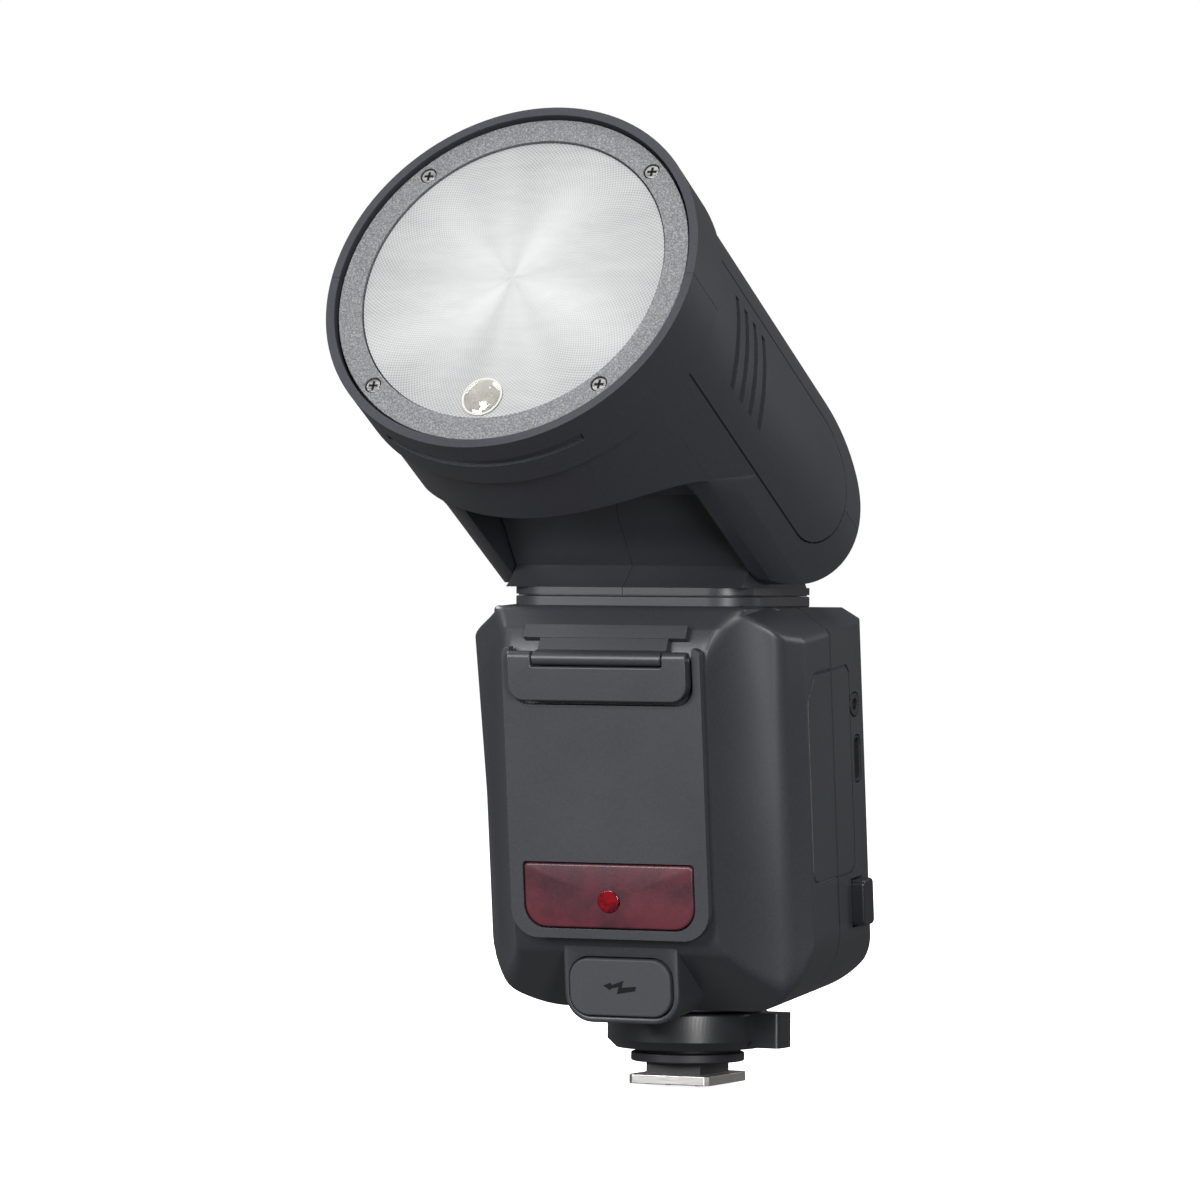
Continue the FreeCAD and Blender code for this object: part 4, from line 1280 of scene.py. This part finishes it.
# ---------------------------------------------------------------- body
@dataclass
class Body:
    """The leaning body: shells, front panel, window, covers, battery and insides."""

    face: float = -37.8
    bolt_height: float = 25.4
    lens_at: tuple[float, float] = (0.0, 43.9)
    shell_round: float = 0.5
    bolt: list[tuple[float, float]] = field(
        default_factory=lambda: [
            (-3.75, 0.3), (-2.1, 0.95), (-1.65, 0.5), (0.95, 1.45), (0.45, -0.05), (3.75, 0.3), (3.55, -0.65),
            (-0.65, -1.4), (-0.15, 0.12), (-1.8, -0.2), (-2.2, -0.6),
        ]
    )

    def build(self, shop: Workshop) -> None:
        """Make the body's pieces.

        Args:
            shop: Where the pieces are made.
        """
        FrontShell().build(shop)
        shop.soften("rear_cover", Finish.SHELL, "flash_body", self.shell_round, sharp=24.0)
        shop.soften("front_panel", Finish.SHELL, "flash_body", 0.7, segments=3)
        shop.soften("accessory_cover", Finish.SHELL, "cover_flap", 0.35)
        shop.soften("hinge_bracket", Finish.SHELL, "flash_body", 0.3)
        shop.soften("collar_plate", Finish.SHELL, "flash_body", 0.3)
        shop.soften("battery_latch", Finish.SHELL, "latch", 0.2)
        shop.soften("battery", Finish.BATTERY, "battery_pack", 0.4)
        self.window(shop)
        shop.soften("af_lens", Finish.RED, "flash_body", 0.2)
        shop.soften("port_cover", Finish.RUBBER, "port_plug", 0.45, segments=3)
        self.symbol(shop)
        shop.soften("accessory_port", Finish.NYLON, "flash_body", 0.2)
        shop.soften("power_port", Finish.NYLON, "flash_body", 0.2)
        shop.soften("usb_port", Finish.NYLON, "flash_body", 0.12)
        shop.soften("sync_jack", Finish.NYLON, "flash_body", 0.12)
        shop.soften("side_button", Finish.SATIN, "side_key", 0.5, segments=3)
        for node, finish in (
            ("cover_pin", Finish.NICKEL), ("battery_bay", Finish.NYLON), ("main_board", Finish.BOARD),
            ("key_board", Finish.BOARD), ("capacitor", Finish.SLEEVE), ("lcd_module", Finish.DISPLAY),
            ("lcd_window", Finish.GLASS),
        ):
            shop.keep(node, finish)

    def window(self, shop: Workshop) -> None:
        """Make the dark window: a rounded plate with a hole for the red lens.

        Args:
            shop: Where the pieces are made.
        """
        outline = round_box(-19.1, 19.1, 38.3, 51.6, 4.7, 0.9)
        hole = hole_outline(outline, self.lens_at, 2.45)
        front = rolled(outline, self.face + 0.35, 0.45, -1.0)
        lip = [(hole_outline(outline, self.lens_at, 2.6), front[-1][1]), (hole, front[-1][1] + 0.2)]
        loops = [(outline, -36.0)] + front + lip + [(hole, -36.0)]
        shop.make(
            "dark_window", nest(loops, ring=True), Place.BODY, Finish.WINDOW, "flash_body",
            ("af_window",), crease=50.0,
        )

    def symbol(self, shop: Workshop) -> None:
        """Make the bolt symbol on the port plug.

        The flat outline is carried a short way out of the plug's face to make a thin inlay.

        Args:
            shop: Where the pieces are made.
        """
        outline = np.array(self.bolt) + np.array([0.0, self.bolt_height])
        out, deep = -34.26, -34.1
        patch = nest([(outline, out), (outline, deep)], caps=True)
        shop.make("bolt_symbol", patch, Place.BODY, Finish.INK_AND_SHADOW, "port_plug")


# ---------------------------------------------------------------- back controls
@dataclass
class Controls:
    """Dial, keys and switch on the back."""

    key_round: float = 0.35

    def build(self, shop: Workshop) -> None:
        """Make the controls' pieces.

        Args:
            shop: Where the pieces are made.
        """
        shop.soften("select_dial", Finish.SATIN, "dial", 0.18)
        shop.soften("set_button", Finish.SATIN, "centre_key", self.key_round)
        shop.soften("mode_button", Finish.SATIN, "mode_key", self.key_round)
        shop.soften("test_button", Finish.SATIN, "test_key", self.key_round)
        shop.soften("power_switch", Finish.SATIN, "switch", 0.25)
        for i in range(1, 5):
            shop.soften(
                f"function_button_{i}", Finish.SATIN, f"function_key_{i}", self.key_round,
            )


# ---------------------------------------------------------------- foot
@dataclass
class Foot:
    """Shoe foot, contacts, hub and lock ring."""

    ring_round: float = 0.3

    def build(self, shop: Workshop) -> None:
        """Make the foot's pieces.

        Args:
            shop: Where the pieces are made.
        """
        shop.soften("lock_ring", Finish.SATIN, "foot_lock_ring", self.ring_round)
        shop.soften("foot_boss", Finish.NYLON, "flash_body", 0.3)
        shop.soften("foot_hub", Finish.NYLON, "flash_body", 0.3)
        shop.soften("contact_block", Finish.NYLON, "flash_body", 0.15)
        shop.soften("foot_plate", Finish.NICKEL, "flash_body", 0.2)
        shop.keep("contact_pins", Finish.GOLD)
        shop.keep("lock_pin", Finish.NICKEL)


# ---------------------------------------------------------------- studio
@dataclass
class Softbox:
    """A square area light in the studio, in metres and watts."""

    name: str
    at: tuple[float, float, float]
    aim: tuple[float, float, float]
    size: tuple[float, float]
    power: float


@dataclass
class Studio:
    """Pale floor, soft lights and the camera."""

    camera_at: tuple[float, float, float] = (0.59653, -1.34019, 0.10997)
    yaw: float = 24.74
    down: float = 0.32
    roll: float = 0.33
    lens: float = 208.13
    floor_half: float = 6.0
    fill: float = 0.12
    boxes: tuple[Softbox, ...] = (
        Softbox("key_box", (-0.3, -1.4, 0.8), (0.0, -0.03, 0.11), (0.5, 0.5), 13.5),
        Softbox("card_left", (-0.55, -1.15, 0.36), (0.0, -0.03, 0.1), (0.6, 0.24), 7.5),
        Softbox("card_right", (0.86, -1.15, 0.3), (0.0, -0.02, 0.09), (0.24, 0.7), 17.0),
        Softbox("side_strip", (1.0, 0.95, 0.6), (0.0, 0.0, 0.12), (0.3, 0.8), 4.0),
        Softbox("rim_strip", (-0.95, 0.3, 0.95), (0.0, -0.05, 0.16), (0.4, 0.4), 9.0),
        Softbox("top_box", (0.1, 0.0, 1.2), (0.0, 0.0, 0.1), (0.6, 0.6), 8.0),
    )

    def build(self) -> None:
        """Make the floor, the lights and the camera."""
        self.floor()
        self.lights()
        self.camera()

    def floor(self) -> None:
        """Lay a pale floor just under the contact pins."""
        low = min(o.z for o in (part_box("contact_pins")[0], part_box("foot_plate")[0]))
        h = self.floor_half
        mesh = bpy.data.meshes.new("floor")
        mesh.from_pydata([(-h, -h, low), (h, -h, low), (h, h, low), (-h, h, low)], [], [(0, 1, 2, 3)])
        obj = bpy.data.objects.new("floor", mesh)
        bpy.context.scene.collection.objects.link(obj)
        obj.visible_diffuse = obj.visible_glossy = obj.visible_transmission = False
        m, tree, shader, coords = new_material(
            "pale_floor", {
                "Roughness": 0.9, "Specular IOR Level": 0.1, "Emission Color": (1.0, 1.0, 1.0, 1.0),
                "Emission Strength": 0.9,
            }
        )
        paper = add_node(
            tree, "ShaderNodeTexNoise", {"Scale": 3.0, "Detail": 1.0},
            {"Vector": coords.outputs["Object"]},
        )
        tone = add_node(
            tree, "ShaderNodeMix", {"data_type": "RGBA", 6: linear("#fafafa"), 7: linear("#fdfdfd")},
            {0: paper.outputs["Fac"]},
        )
        tree.links.new(tone.outputs[2], shader.inputs["Base Color"])
        mesh.materials.append(m)

    def lights(self) -> None:
        """Hang the softboxes and whiten the surroundings."""
        for box in self.boxes:
            data = bpy.data.lights.new(box.name, "AREA")
            data.shape = "RECTANGLE"
            data.size, data.size_y = box.size
            data.energy = box.power
            obj = bpy.data.objects.new(box.name, data)
            bpy.context.scene.collection.objects.link(obj)
            at, aim = np.array(box.at), np.array(box.aim)
            back = (at - aim) / np.linalg.norm(at - aim)
            side = np.cross((0.0, 0.0, 1.0), back)
            side /= np.linalg.norm(side)
            up = np.cross(back, side)
            rows = [[side[i], up[i], back[i], at[i]] for i in range(3)]
            obj.matrix_world = Matrix(rows + [[0, 0, 0, 1]])
        world = bpy.data.worlds.new("studio")
        bpy.context.scene.world = world
        world.use_nodes = True
        tree = world.node_tree
        sky = tree.nodes["Background"]
        sky.inputs["Color"].default_value = (1.0, 1.0, 1.0, 1.0)
        seen = add_node(tree, "ShaderNodeLightPath")
        power = add_node(
            tree, "ShaderNodeMapRange", {"To Min": self.fill, "To Max": 1.0},
            {"Value": seen.outputs["Is Camera Ray"]},
        )
        tree.links.new(power.outputs[0], sky.inputs["Strength"])
        bpy.context.scene.view_settings.view_transform = "Standard"

    def camera(self) -> None:
        """Set the camera: yaw about the vertical, a slight look down and a slight roll."""
        t, e, r = (math.radians(v) for v in (self.yaw, self.down, self.roll))
        ahead = np.array([-math.sin(t) * math.cos(e), math.cos(t) * math.cos(e), -math.sin(e)])
        level = np.array([math.cos(t), math.sin(t), 0.0])
        raised = np.cross(level, ahead)
        side = level * math.cos(r) + raised * math.sin(r)
        up = np.cross(side, ahead)
        data = bpy.data.cameras.new("view")
        data.lens, data.sensor_width = self.lens, 36.0
        data.clip_start, data.clip_end = 0.01, 50.0
        obj = bpy.data.objects.new("view", data)
        bpy.context.scene.collection.objects.link(obj)
        rows = [[side[i], up[i], -ahead[i], self.camera_at[i]] for i in range(3)]
        obj.matrix_world = Matrix(rows + [[0, 0, 0, 1]])
        bpy.context.scene.camera = obj


# ---------------------------------------------------------------- build
def corners(bounds: tuple[Any, Any]) -> list[list[float]]:
    """Turn a pair of corners into plain lists."""
    return [[float(v) for v in corner] for corner in bounds]


def main() -> None:
    """Load the frame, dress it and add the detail."""
    logging.basicConfig(level=logging.INFO, format="%(name)s: %(message)s")
    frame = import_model()
    shop = Workshop(frame, Paintbox())
    for part in (Head(), Turret(), Body(), Controls(), Foot()):
        part.build(shop)
    Studio().build()


if __name__ == "__main__":
    main()
